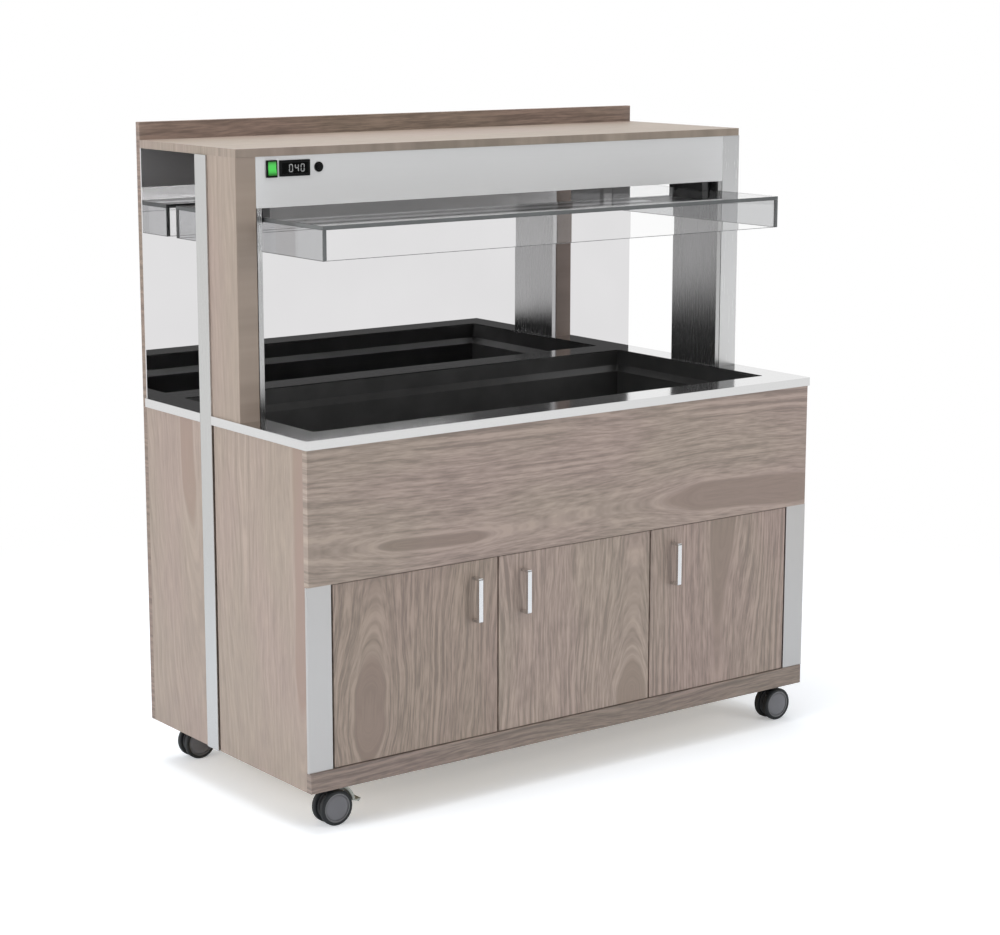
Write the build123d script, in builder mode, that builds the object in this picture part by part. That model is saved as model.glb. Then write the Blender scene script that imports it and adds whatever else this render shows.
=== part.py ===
from build123d import *
import os
from math import cos, radians, sin, tan

os.makedirs("parts", exist_ok=True)

# A heated salad bar on castors: a wood cabinet with three doors, a heated well in a steel
# worktop, and a top shelf on two posts with a hanging glass guard. Millimetres, +Z up.
# X runs along the front, from left to right, and Y from the front to the back. The origin
# is on the floor, midway across the overall width and the overall depth.

# Driving sizes
width = 1450.0              # over the steel edge of the worktop
depth = 700.0               # from the apron's face to the back of the back board
castor_height = 100.0       # floor to the underside of the cabinet
worktop_height = 870.0      # floor to the worktop
post_height = 572.0         # worktop to the underside of the top shelf
upstand = 40.0              # back board above the top shelf
board = 18.0                # wood boards
back_board_thick = 16.0
cladding_board = 16.0
sheet = 1.5                 # folded steel sheet
trim_proud = 4.0            # steel standing out from the boards beside it
edge_round = 0.8            # eased edges of the boards

# Clearances
fit_gap = 0.3               # between pieces that are put together with a little room
bond_gap = 0.1              # glue line or pressed round piece within one body
run_gap = 0.05              # radial play of a pin that turns in its bore

# Cabinet front
rail_height = 46.0          # bottom rail
apron_height = 295.0
trim_height = 20.0          # folded steel edge of the worktop
door_setback = 3.0          # door faces behind the apron's face
strip_width = 62.0          # steel strips at the two front corners
strip_thick = 6.0
strip_leg = 18.0            # leg of the strip beside the door
strip_door_gap = 4.5
door_gap = 4.0              # between two doors
door_clearance = 2.0        # above and below a door
middle_door_width = 441.6
middle_door_shift = 3.5     # middle door to the right of the centre
partition_setback = 6.0     # partitions behind the doors' backs
handle_reach = 28.0         # from the door's face
handle_length = 102.0
handle_width = 11.0
handle_thick = 6.0
handle_round_out = 4.8      # corner radii of the bent bar
handle_round_in = 2.0
handle_edge = 66.0          # handle's centre from the free edge of its door
handle_top = 35.0           # handle below the top of its door
handle_screw = 4.0          # screw diameter
handle_screw_head = 8.0
handle_screw_head_thick = 2.0
handle_screw_bite = 8.0     # screw inside the handle's foot
pivot_inset = 9.0           # pivot axis from the hinged edge of a door
pivot_pin = 6.0             # diameter
pivot_depth = 13.0          # pin inside the door, and inside the board
pivot_collar = 12.0

# Posts and canopy
post_depth = 166.0
post_width = 50.0           # cladding, from the outer face of the boards
upright_depth = 48.0        # steel profile that carries the shelf
upright_wall = 2.5
joint_groove = 4.0          # shadow joint beside an upright
joint_groove_depth = 6.0
lining_gap = 2.0
lining_depth = 12.0
canopy_height = 110.0
canopy_flange = 15.0
shelf_overhang = 2.0
mirror_thick = 4.0

# Glass guard
guard_post_gap = 10.0       # guard's ends to the post linings
guard_setback = 42.0        # guard behind the apron's face, and as much at the back
guard_drop = 74.0
guard_gap = 22.0            # below the canopy
glass = 8.0
hanger_inset = 14.0         # middle of a hanger from the guard's end
hanger_setback = 21.0       # hanger behind the canopy's front, and as much at the back
hanger_width = 18.0
hanger_stud = 6.0
stud_inset = 17.0           # studs from the ends of a hanger
stud_bite = 3.0             # stud below the glass, inside its cap
cap_diameter = 11.0
cap_thick = 5.0

# Light in the canopy's floor
light_length = 1000.0
light_width = 40.0
light_height = 14.0
light_flange = 8.0

# Worktop and heated well
skin = 2.0                  # steel skin of the worktop
well_post_gap = 7.0         # ends of the well to the post linings
well_setback = 83.0         # apron's face to the front edge of the well
well_mirror_gap = 44.0      # rear edge of the well to the mirror
well_recess = 39.0          # worktop to the top of the sloped ledge
ledge_drop = 14.0
ledge_width = 16.0
well_depth = 225.0          # worktop to the floor of the well
well_corner = 6.0           # of the rim and of the cut-out in the worktop
mat_thick = 4.0
mat_margin = 30.0           # heating mats inside the well's floor
mat_gap = 15.0              # between the mats, and from the drain's nut
mat_round = 6.0
insulation_floor = 26.0
insulation_side = 24.0
casing_sheet = 1.0
casing_flange = 20.0
core_clearance = 2.5        # worktop core to the well

# Drain
drain_from_end = 70.0       # drain axis to the right end of the well
drain_from_edge = 97.0      # drain axis to the front edge of the well
drain_pipe = 26.0
drain_bore = 16.0
drain_flange = 44.0
drain_flange_thick = 2.0
drain_nut = 40.0
drain_nut_thick = 8.0
valve_size = 38.0
valve_height = 44.0
valve_round = 6.0
valve_below = 66.0          # lever's axis below the cupboard's ceiling
valve_plug = 18.0
valve_plug_length = 35.5
valve_plug_bore = 11.0
valve_stem = 8.0
hose_tail = 20.0
hose_tail_length = 26.0
lever_length = 62.0
lever_width = 13.0
lever_thick = 4.0
lever_standoff = 6.0

# Controls on the canopy's front
switch_centre = 93.5        # from the overall left side
switch_width = 26.0
switch_tall = 37.0
switch_proud = 5.0
switch_deep = 24.0
rocker_width = 20.0
rocker_tall = 30.0
rocker_pivot = 6.0          # pivot behind the pressed face
rocker_tilt = 7.0           # degrees either way from level
rocker_pin = 3.0
rocker_back = 6.6           # back of the rocker behind its pivot
rocker_end_gap = 1.1        # above and below the rocker
rocker_valley = 0.5         # the middle of the face, in from its pressed level
display_centre = 152.0
display_width = 77.0
display_tall = 35.0
display_proud = 3.0
display_body_width = 70.0
display_body_tall = 28.0
display_deep = 40.0
window_width = 66.0
window_tall = 23.0
window_thick = 1.0
button_centre = 214.0
button_ring = 22.0
button_barrel = 16.0
button_cap = 13.0
button_proud = 2.0
button_deep = 20.0
button_travel = 2.5
controls_drop = 27.0        # controls' centre below the top shelf

# Cable gland at the back
gland_from_right = 145.0
gland_height = 190.0
gland_flange = 34.0
gland_flange_thick = 3.0
gland_barrel = 20.0
gland_bore = 10.0
gland_nut = 28.0
gland_nut_thick = 5.0

# Magnet catches
catch_width = 46.0
catch_height = 14.0
catch_depth = 15.0
catch_edge = 60.0           # catch's centre from the free edge of its door

# Castors
castor_from_side = 68.0     # stem from the overall side
castor_from_face = 62.5     # stem from the doors' plane at the front
castor_from_back = 48.0     # stem from the overall back
castor_plate = 60.0
castor_plate_thick = 3.0
castor_plate_round = 6.0
castor_screw_pitch = 44.0
castor_screw = 5.0
castor_screw_head = 9.0
castor_screw_head_thick = 2.5
castor_screw_bite = 20.0
kingpin = 10.0
kingpin_length = 12.0
fork_collar = 24.0
fork_collar_height = 14.0
fork_web = 14.0
fork_knee = 9.0             # radius of the web's top corner, beside the collar
wheel_diameter = 80.0
wheel_width = 14.0
wheel_inner_gap = 17.0      # between the two wheels of one castor
wheel_shoulder = 4.0
tyre_thick = 7.5
hub_wall = 3.0
hub_boss = 16.0
axle = 8.0
trail = 28.0
brake_behind = 15.0         # brake's pin behind the axle, and above it
brake_above = 26.0
brake_pin = 4.0
brake_wall = 3.0            # round the pin
brake_arm = 6.0
brake_radius = 46.0         # inside of the brake pedal, about the axle
brake_thick = 6.0
brake_width = 28.0
pedal_start = 8.0           # degrees round the axle, from level at the back of the wheel
pedal_end = 66.0
pedal_root = 18.0           # part of the pedal that the arm meets
pedal_tip = 14.0            # tip back from the pedal, and down
pedal_tip_drop = 4.0

# Places worked out from the driving sizes
half = width / 2
side = half - trim_proud
inner_side = side - board
front = (handle_reach - door_setback - depth) / 2
back = front + depth
mid = (front + back) / 2
board_front = front + board
board_back = back - back_board_thick
base_z = castor_height
floor_z = base_z + rail_height
worktop_z = worktop_height
edge_z = worktop_z - trim_height
apron_z = edge_z - apron_height
shelf_z = worktop_z + post_height
top_z = shelf_z + board + upstand
canopy_z = shelf_z - canopy_height
post_front = mid - post_depth / 2
post_back = mid + post_depth / 2
upright_x = side - post_width
upright_shift = (post_depth - upright_depth) / 2
lining_x = upright_x - lining_gap - lining_depth
door_face = front + door_setback
door_back = door_face + board
strip_x = half - strip_width
partition_pitch = middle_door_width + door_gap
well_x = lining_x - well_post_gap
well_front = front + well_setback
well_back = board_back - mirror_thick - well_mirror_gap
well_y = (well_front + well_back) / 2
tank_x = well_x - ledge_width
tank_y = (well_back - well_front) / 2 - ledge_width


def save(part, label):
    """Name a finished piece and write it."""
    part.label = label
    export_step(part, f"parts/{label}.step")


def span(x0, x1, y0, y1, mode=Mode.ADD):
    """Rectangle between two corners, in the sketch that is open."""
    with Locations(((x0 + x1) / 2, (y0 + y1) / 2)):
        Rectangle(abs(x1 - x0), abs(y1 - y0), mode=mode)


def upright_notches(room=fit_gap):
    """Cut-outs at the two sides where the uprights pass through a board."""
    for sign in (-1, 1):
        x_in = sign * (upright_x - room)
        y_mid = mid - sign * upright_shift
        y_half = upright_depth / 2 + room
        span(x_in, sign * (half + edge_round), y_mid - y_half, y_mid + y_half, mode=Mode.SUBTRACT)


# Castor places, shared by the base board and the castors: name, stem x, stem y, brake
stem_x = half - castor_from_side
stem_front = front + castor_from_face
stem_back = back - castor_from_back
castor_places = [
    ("front_left", -stem_x, stem_front, True),
    ("front_right", stem_x, stem_front, False),
    ("rear_left", -stem_x, stem_back, True),
    ("rear_right", stem_x, stem_back, False),
]
castor_screw_places = [
    (x + dx * castor_screw_pitch / 2, y + dy * castor_screw_pitch / 2)
    for _, x, y, _ in castor_places
    for dx in (-1, 1)
    for dy in (-1, 1)
]

# Base: a thick board that takes the castors, with the cupboard's floor on it
with BuildPart() as base_board:
    with BuildSketch(Plane.XY.offset(base_z)):
        span(-inner_side, inner_side, board_front, board_back)
        upright_notches()
    extrude(amount=rail_height - board)
    with BuildSketch(Plane.XY.offset(base_z)):
        with Locations(castor_screw_places):
            Circle(castor_screw / 2 + run_gap)
    extrude(amount=castor_screw_bite + fit_gap, mode=Mode.SUBTRACT)
save(base_board.part, "base_board")

with BuildPart() as cupboard_floor:
    with BuildSketch(Plane.XY.offset(floor_z - board)):
        span(-inner_side, inner_side, board_front, board_back)
        upright_notches()
    extrude(amount=board)
save(cupboard_floor.part, "cupboard_floor")

# Drain axis, through the ceiling of the cupboard
drain_x = well_x - drain_from_end
drain_y = well_front + drain_from_edge

with BuildPart() as cupboard_ceiling:
    with BuildSketch(Plane.XY.offset(apron_z)):
        span(-inner_side, inner_side, board_front, board_back)
        upright_notches()
        with Locations((drain_x, drain_y)):
            Circle(drain_pipe / 2 + 2 * fit_gap, mode=Mode.SUBTRACT)
    extrude(amount=board)
save(cupboard_ceiling.part, "cupboard_ceiling")

with BuildPart() as partitions:
    with BuildSketch(Plane.XY.offset(floor_z)):
        for sign in (-1, 1):
            x_mid = middle_door_shift + sign * partition_pitch / 2
            span(x_mid - board / 2, x_mid + board / 2, door_back + partition_setback, board_back)
    extrude(amount=apron_z - floor_z)
save(partitions.part, "partitions")

# Side panels: one board in front of the upright and one behind it, on each side. The front
# one runs behind the apron and the rail, and forward to the steel strip between them.
for side_name, sign in (("left", -1), ("right", 1)):
    cut_front = mid - sign * upright_shift - upright_depth / 2 - fit_gap
    cut_back = mid - sign * upright_shift + upright_depth / 2 + fit_gap
    with BuildPart() as side_panels:
        with BuildSketch(Plane.YZ.offset(min(sign * side, sign * inner_side))):
            with BuildLine():
                Polyline(
                    (board_front, base_z),
                    (cut_front, base_z),
                    (cut_front, edge_z),
                    (board_front, edge_z),
                    (board_front, apron_z),
                    (door_face + strip_thick, apron_z),
                    (door_face + strip_thick, floor_z),
                    (board_front, floor_z),
                    close=True,
                )
            make_face()
            span(cut_back, board_back, base_z, edge_z)
        extrude(amount=board)
        with BuildSketch(Plane.XY.offset(base_z)):
            x_in = sign * (side - joint_groove_depth)
            span(x_in, sign * side, cut_front - joint_groove, cut_front)
            span(x_in, sign * side, cut_back, cut_back + joint_groove)
        extrude(amount=edge_z - base_z, mode=Mode.SUBTRACT)
    save(side_panels.part, f"side_panels_{side_name}")

# Uprights: steel profiles closed at the foot, from the base to the top shelf, proud of the
# boards beside them
for side_name, sign in (("left", -1), ("right", 1)):
    with BuildPart() as upright:
        with BuildSketch(Plane.XY.offset(base_z)):
            with Locations((sign * (half + upright_x) / 2, mid - sign * upright_shift)):
                Rectangle(half - upright_x, upright_depth)
        extrude(amount=shelf_z - base_z)
        with BuildSketch(Plane.XY.offset(base_z + upright_wall)):
            with Locations((sign * (half + upright_x) / 2, mid - sign * upright_shift)):
                Rectangle(half - upright_x - 2 * upright_wall, upright_depth - 2 * upright_wall)
        extrude(amount=shelf_z - base_z - upright_wall, mode=Mode.SUBTRACT)
        outer_face = upright.faces().sort_by(Axis.X)[0 if sign < 0 else -1]
        fillet(outer_face.edges().filter_by(Axis.Z), radius=edge_round)
    save(upright.part, f"upright_{side_name}")

# Back board, full height, with the cable gland's hole and its recess
gland_x = half - gland_from_right
with BuildPart() as back_board:
    with BuildSketch(Plane.XY.offset(base_z)):
        span(-side, side, board_back, back)
    extrude(amount=top_z - base_z)
    fillet(back_board.faces().sort_by(Axis.Z)[-1].edges(), radius=edge_round)
    with BuildSketch(Plane.XZ.offset(-board_back)):
        with Locations((gland_x, gland_height)):
            Circle(gland_barrel / 2 + run_gap)
    extrude(amount=-back_board_thick, mode=Mode.SUBTRACT)
    with BuildSketch(Plane.XZ.offset(-back)):
        with Locations((gland_x, gland_height)):
            Circle(gland_flange / 2 + run_gap)
    extrude(amount=gland_flange_thick, mode=Mode.SUBTRACT)
save(back_board.part, "back_board")

# Cable gland: a flanged barrel through the back board, and its lock nut inside
with BuildPart() as cable_gland:
    with BuildSketch(Plane.XZ.offset(-back)):
        with Locations((gland_x, gland_height)):
            Circle(gland_flange / 2)
    extrude(amount=gland_flange_thick)
    with BuildSketch(Plane.XZ.offset(gland_flange_thick - back)):
        with Locations((gland_x, gland_height)):
            Circle(gland_barrel / 2)
    extrude(amount=back_board_thick - gland_flange_thick + gland_nut_thick)
    with BuildSketch(Plane.XZ.offset(-board_back)):
        with Locations((gland_x, gland_height)):
            RegularPolygon(gland_nut / 2, 6, major_radius=False)
            Circle(gland_barrel / 2 + run_gap, mode=Mode.SUBTRACT)
    extrude(amount=gland_nut_thick)
    with BuildSketch(Plane.XZ.offset(-back)):
        with Locations((gland_x, gland_height)):
            Circle(gland_bore / 2)
    extrude(amount=back_board_thick + gland_nut_thick, mode=Mode.SUBTRACT)
save(cable_gland.part, "cable_gland")

# Doors: the left one hangs at its left edge, the other two at their right edges
door_edge = strip_x - strip_door_gap
door_low = floor_z + door_clearance
door_high = apron_z - door_clearance
middle_left = middle_door_shift - middle_door_width / 2
middle_right = middle_door_shift + middle_door_width / 2
doors = [
    ("left", -door_edge, middle_left - door_gap, -1),
    ("middle", middle_left, middle_right, 1),
    ("right", middle_right + door_gap, door_edge, 1),
]
pivot_y = door_face + board / 2
pivots_x = [(x0 if hinge < 0 else x1) - hinge * pivot_inset for _, x0, x1, hinge in doors]
pivot_places = [(x, pivot_y) for x in pivots_x]
free_edges = [(x1 if hinge < 0 else x0) for _, x0, x1, hinge in doors]
handle_mid = door_high - handle_top - handle_length / 2
handle_screws_z = [handle_mid - (handle_length - handle_thick) / 2,
                   handle_mid + (handle_length - handle_thick) / 2]

# Apron and bottom rail, with blind holes for the doors' pivot pins
with BuildPart() as apron:
    with BuildSketch(Plane.XY.offset(apron_z)):
        span(-side, side, front, board_front)
    extrude(amount=apron_height)
    fillet(apron.faces().sort_by(Axis.Y)[0].edges(), radius=edge_round)
    with BuildSketch(Plane.XY.offset(apron_z)):
        with Locations(pivot_places):
            Circle(pivot_pin / 2 + run_gap)
    extrude(amount=pivot_depth + fit_gap, mode=Mode.SUBTRACT)
save(apron.part, "apron")

with BuildPart() as bottom_rail:
    with BuildSketch(Plane.XY.offset(base_z)):
        span(-side, side, front, board_front)
    extrude(amount=rail_height)
    fillet(bottom_rail.faces().sort_by(Axis.Y)[0].edges(), radius=edge_round)
    with BuildSketch(Plane.XY.offset(floor_z)):
        with Locations(pivot_places):
            Circle(pivot_pin / 2 + run_gap)
    extrude(amount=-pivot_depth - fit_gap, mode=Mode.SUBTRACT)
save(bottom_rail.part, "bottom_rail")

# Pivot pins: two for each door, with a collar that fills the gap above or below the door
collar_thick = door_clearance - bond_gap
with BuildPart() as pivot_pins:
    for z, way in ((apron_z, 1), (floor_z, -1)):
        with BuildSketch(Plane.XY.offset(z + way * pivot_depth)):
            with Locations(pivot_places):
                Circle(pivot_pin / 2)
        extrude(amount=-way * (2 * pivot_depth + door_clearance))
        with BuildSketch(Plane.XY.offset(z)):
            with Locations(pivot_places):
                Circle(pivot_collar / 2)
        extrude(amount=-way * collar_thick)
save(pivot_pins.part, "pivot_pins")

# Steel strips at the front corners: a flat face, and a leg back beside the door
strip_back = door_face + strip_thick
with BuildPart() as corner_strips:
    with BuildSketch(Plane.XY.offset(floor_z)):
        for sign in (-1, 1):
            span(sign * strip_x, sign * half, door_face, strip_back)
            span(sign * strip_x, sign * (strip_x + sheet), door_face, strip_back + strip_leg)
    extrude(amount=apron_z - floor_z)
    front_edges = corner_strips.edges().filter_by(Axis.Z).group_by(Axis.Y)[0]
    fillet(front_edges, radius=edge_round)
save(corner_strips.part, "corner_strips")

# Doors and handles
for (door_name, x0, x1, hinge), pivot_x, free_x in zip(doors, pivots_x, free_edges):
    handle_x = free_x + hinge * handle_edge
    with BuildPart() as door:
        with BuildSketch(Plane.XY.offset(door_low)):
            span(x0, x1, door_face, door_back)
        extrude(amount=door_high - door_low)
        fillet(door.edges().filter_by(Axis.Z), radius=edge_round)
        for z, way in ((door_low, 1), (door_high, -1)):
            with BuildSketch(Plane.XY.offset(z)):
                with Locations((pivot_x, pivot_y)):
                    Circle(pivot_pin / 2 + run_gap)
            extrude(amount=way * (pivot_depth + fit_gap), mode=Mode.SUBTRACT)
        with BuildSketch(Plane.XZ.offset(-door_back)):
            with Locations(*[(handle_x, z) for z in handle_screws_z]):
                Circle(handle_screw / 2 + fit_gap)
        extrude(amount=board, mode=Mode.SUBTRACT)
    save(door.part, f"door_{door_name}")

    # A bow handle of flat bar, and the two screws that hold it from inside the door
    with BuildPart() as handle:
        low = handle_mid - handle_length / 2
        high = handle_mid + handle_length / 2
        with BuildSketch(Plane.YZ.offset(handle_x - handle_width / 2)) as bow:
            span(door_face - handle_reach, door_face, low, high)
            span(door_face - handle_reach + handle_thick, door_face,
                 low + handle_thick, high - handle_thick, mode=Mode.SUBTRACT)
            fillet(bow.vertices().group_by(Axis.X)[1], radius=handle_round_in)
            fillet(bow.vertices().group_by(Axis.X)[0], radius=handle_round_out)
        extrude(amount=handle_width)
        with BuildSketch(Plane.XZ.offset(-door_face)):
            with Locations(*[(handle_x, z) for z in handle_screws_z]):
                Circle(handle_screw / 2)
        extrude(amount=handle_screw_bite, mode=Mode.SUBTRACT)
        with BuildSketch(Plane.XZ.offset(-door_back)):
            with Locations(*[(handle_x, z) for z in handle_screws_z]):
                Circle(handle_screw / 2 - run_gap)
        extrude(amount=board + handle_screw_bite - fit_gap)
        with BuildSketch(Plane.XZ.offset(-door_back)):
            with Locations(*[(handle_x, z) for z in handle_screws_z]):
                Circle(handle_screw_head / 2)
        extrude(amount=-handle_screw_head_thick)
    save(handle.part, f"handle_{door_name}")

# Magnet catches under the ceiling, just behind the free corner of each door
catch_y = door_back + fit_gap + catch_depth / 2
with BuildPart() as magnet_catches:
    with BuildSketch(Plane.XY.offset(apron_z)):
        for (_, _, _, hinge), free_x in zip(doors, free_edges):
            with Locations((free_x + hinge * catch_edge, catch_y)):
                Rectangle(catch_width, catch_depth)
    extrude(amount=-catch_height)
    fillet(magnet_catches.edges().filter_by(Axis.Z), radius=2 * edge_round)
save(magnet_catches.part, "magnet_catches")

# Worktop: a board core and a folded steel skin with an edge on three sides
skirt = half - skin
trim_front = front - trim_proud
wall_x = well_x + sheet
wall_y = (well_back - well_front) / 2 + sheet
with BuildPart() as worktop_core:
    with BuildSketch(Plane.XY.offset(edge_z)):
        span(fit_gap - skirt, skirt - fit_gap, trim_front + skin + fit_gap, board_back)
        upright_notches()
        span(-wall_x - core_clearance, wall_x + core_clearance,
             well_y - wall_y - core_clearance, well_y + wall_y + core_clearance, mode=Mode.SUBTRACT)
    extrude(amount=trim_height - skin)
save(worktop_core.part, "worktop_core")

with BuildPart() as worktop_skin:
    with BuildSketch(Plane.XY.offset(edge_z)):
        span(-half, half, trim_front, board_back)
        span(-skirt, skirt, trim_front + skin, board_back, mode=Mode.SUBTRACT)
        upright_notches()
    extrude(amount=trim_height)
    with BuildSketch(Plane.XY.offset(worktop_z - skin)):
        span(-half, half, trim_front, board_back)
        upright_notches()
        with Locations((0, well_y)):
            RectangleRounded(2 * well_x, well_back - well_front, well_corner, mode=Mode.SUBTRACT)
    extrude(amount=skin)
    corners = worktop_skin.edges().filter_by(Axis.Z).group_by(Axis.Y)[0]
    fillet(corners.filter_by(lambda edge: abs(edge.center().X) > half - skin / 2), radius=skin)
save(worktop_skin.part, "worktop_skin")

# Well rim: an upper recess and a sloped ledge for the pans, folded from one sheet. It is an
# outer body less an inner one.
recess_z = worktop_z - well_recess
ledge_z = recess_z - ledge_drop
well_floor_z = worktop_z - well_depth


def rim_body(grow, top_z):
    """Solid that fills the recess and the ledge, grown by a wall all round."""
    corner = well_corner + grow
    with BuildPart() as body:
        with BuildSketch(Plane.XY.offset(recess_z)):
            with Locations((0, well_y)):
                RectangleRounded(2 * (well_x + grow), 2 * (tank_y + ledge_width + grow), corner)
        extrude(amount=top_z - recess_z)
        with BuildSketch(Plane.XY.offset(recess_z)):
            with Locations((0, well_y)):
                RectangleRounded(2 * (well_x + grow), 2 * (tank_y + ledge_width + grow), corner)
        with BuildSketch(Plane.XY.offset(ledge_z)):
            with Locations((0, well_y)):
                RectangleRounded(2 * (tank_x + grow), 2 * (tank_y + grow), corner)
        loft(ruled=True)
    return body.part


rim_outside = rim_body(sheet, worktop_z - skin)
rim_inside = rim_body(0, worktop_z)
with BuildPart() as well_rim:
    add(rim_outside)
    add(rim_inside, mode=Mode.SUBTRACT)
save(well_rim.part, "well_rim")

# Well tank: five flat sheets welded at their edges, under the rim's ledge
tank_out_x = tank_x + sheet
tank_out_y = tank_y + sheet
with BuildPart() as well_tank:
    with BuildSketch(Plane.XY.offset(well_floor_z - sheet)):
        span(-tank_out_x, tank_out_x, well_y - tank_out_y, well_y + tank_out_y)
        with Locations((drain_x, drain_y)):
            Circle(drain_pipe / 2 + fit_gap, mode=Mode.SUBTRACT)
    extrude(amount=sheet)
    with BuildSketch(Plane.XY.offset(well_floor_z + bond_gap)):
        for way in (-1, 1):
            span(way * tank_x, way * tank_out_x, well_y - tank_out_y, well_y + tank_out_y)
            span(bond_gap - tank_x, tank_x - bond_gap,
                 well_y + way * tank_y, well_y + way * tank_out_y)
    extrude(amount=ledge_z - well_floor_z - 2 * bond_gap)
save(well_tank.part, "well_tank")

# Heating mats: two flat silicone mats glued under the well's floor, left of the drain
mat_left = -tank_x + mat_margin
mat_right = drain_x - drain_nut / 2 - mat_gap
mat_mid = (mat_left + mat_right) / 2
mat_z = well_floor_z - sheet - mat_thick
with BuildPart() as heating_mats:
    with BuildSketch(Plane.XY.offset(mat_z)):
        span(mat_left, mat_right, well_y - tank_y + mat_margin, well_y + tank_y - mat_margin)
        span(mat_mid - mat_gap / 2, mat_mid + mat_gap / 2, well_y - tank_y, well_y + tank_y,
             mode=Mode.SUBTRACT)
    extrude(amount=mat_thick)
    fillet(heating_mats.edges().filter_by(Axis.Z), radius=mat_round)
save(heating_mats.part, "heating_mats")

# Insulation round the lower tank, and the sheet casing that holds it up
jacket_x = tank_out_x + insulation_side
jacket_y = tank_out_y + insulation_side
jacket_z = mat_z - insulation_floor
with BuildPart() as insulation:
    with BuildSketch(Plane.XY.offset(jacket_z)):
        span(-jacket_x, jacket_x, well_y - jacket_y, well_y + jacket_y)
    extrude(amount=ledge_z - ledge_drop / 2 - jacket_z)
    with BuildSketch(Plane.XY.offset(mat_z)):
        cavity_x = tank_out_x + fit_gap
        cavity_y = tank_out_y + fit_gap
        span(-cavity_x, cavity_x, well_y - cavity_y, well_y + cavity_y)
    extrude(amount=ledge_z - mat_z, mode=Mode.SUBTRACT)
    with BuildSketch(Plane.XY.offset(jacket_z)):
        with Locations((drain_x, drain_y)):
            Circle(drain_nut / 2 + fit_gap)
    extrude(amount=mat_z - jacket_z, mode=Mode.SUBTRACT)
save(insulation.part, "insulation")

casing_x = jacket_x + fit_gap
casing_y = jacket_y + fit_gap
with BuildPart() as well_casing:
    with BuildSketch(Plane.XY.offset(jacket_z - casing_sheet)):
        out_x = casing_x + casing_sheet
        out_y = casing_y + casing_sheet
        span(-out_x, out_x, well_y - out_y, well_y + out_y)
    extrude(amount=edge_z - jacket_z + casing_sheet)
    with BuildSketch(Plane.XY.offset(jacket_z)):
        span(-casing_x, casing_x, well_y - casing_y, well_y + casing_y)
    extrude(amount=edge_z - jacket_z, mode=Mode.SUBTRACT)
    with BuildSketch(Plane.XY.offset(edge_z - casing_sheet)):
        flange_y = casing_y + casing_flange
        span(-casing_x, casing_x, well_y - flange_y, well_y + flange_y)
        span(-casing_x, casing_x, well_y - casing_y, well_y + casing_y, mode=Mode.SUBTRACT)
    extrude(amount=casing_sheet)
    with BuildSketch(Plane.XY.offset(jacket_z - casing_sheet)):
        with Locations((drain_x, drain_y)):
            Circle(drain_pipe / 2 + fit_gap)
    extrude(amount=casing_sheet, mode=Mode.SUBTRACT)
save(well_casing.part, "well_casing")

# Drain: a flanged pipe from the well's floor, its nut, and a valve block under the ceiling
valve_mid = apron_z - valve_below
valve_top = valve_mid + valve_height / 2
valve_low = valve_mid - valve_height / 2
tail_z = valve_low - hose_tail_length
with BuildPart() as drain_pipework:
    with BuildSketch(Plane.XY.offset(well_floor_z)):
        with Locations((drain_x, drain_y)):
            Circle(drain_flange / 2)
    extrude(amount=drain_flange_thick)
    with BuildSketch(Plane.XY.offset(valve_top)):
        with Locations((drain_x, drain_y)):
            Circle(drain_pipe / 2)
    extrude(amount=well_floor_z - valve_top)
    with BuildSketch(Plane.XY.offset(valve_low)):
        with Locations((drain_x, drain_y)):
            RectangleRounded(valve_size, valve_size, valve_round)
    extrude(amount=valve_height)
    with BuildSketch(Plane.XY.offset(tail_z)):
        with Locations((drain_x, drain_y)):
            Circle(hose_tail / 2)
    extrude(amount=hose_tail_length)
    with BuildSketch(Plane.XY.offset(tail_z)):
        with Locations((drain_x, drain_y)):
            Circle(drain_bore / 2)
    extrude(amount=well_floor_z + drain_flange_thick - tail_z, mode=Mode.SUBTRACT)
    with BuildSketch(Plane.XZ.offset(valve_size / 2 - drain_y)):
        with Locations((drain_x, valve_mid)):
            Circle(valve_plug / 2 + run_gap)
    extrude(amount=-valve_plug_length - fit_gap, mode=Mode.SUBTRACT)
    with BuildSketch(Plane.XY.offset(well_floor_z - sheet - drain_nut_thick)):
        with Locations((drain_x, drain_y)):
            RegularPolygon(drain_nut / 2, 6)
            Circle(drain_pipe / 2 + run_gap, mode=Mode.SUBTRACT)
    extrude(amount=drain_nut_thick)
save(drain_pipework.part, "drain_valve")

# Drain lever: a plug with a cross bore, closed at rest, on a flat lever in front of the block
with BuildPart() as drain_lever:
    with BuildSketch(Plane.XZ.offset(valve_size / 2 - drain_y)):
        with Locations((drain_x, valve_mid)):
            Circle(valve_plug / 2)
    extrude(amount=-valve_plug_length)
    with BuildSketch(Plane.YZ.offset(drain_x - valve_plug)):
        with Locations((drain_y, valve_mid)):
            Circle(valve_plug_bore / 2)
    extrude(amount=2 * valve_plug, mode=Mode.SUBTRACT)
    with BuildSketch(Plane.XZ.offset(valve_size / 2 - drain_y)):
        with Locations((drain_x, valve_mid)):
            Circle(valve_stem / 2)
    extrude(amount=lever_standoff)
    with BuildSketch(Plane.XZ.offset(valve_size / 2 + lever_standoff - drain_y)):
        with Locations((drain_x - (lever_length - lever_width) / 2, valve_mid)):
            SlotOverall(lever_length, lever_width)
    extrude(amount=lever_thick)
save(drain_lever.part, "drain_lever")

# Mirror that lines the back board above the worktop
with BuildPart() as mirror:
    with BuildSketch(Plane.XY.offset(worktop_z)):
        span(-side, side, board_back - mirror_thick, board_back)
    extrude(amount=shelf_z - worktop_z)
save(mirror.part, "mirror")

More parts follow.
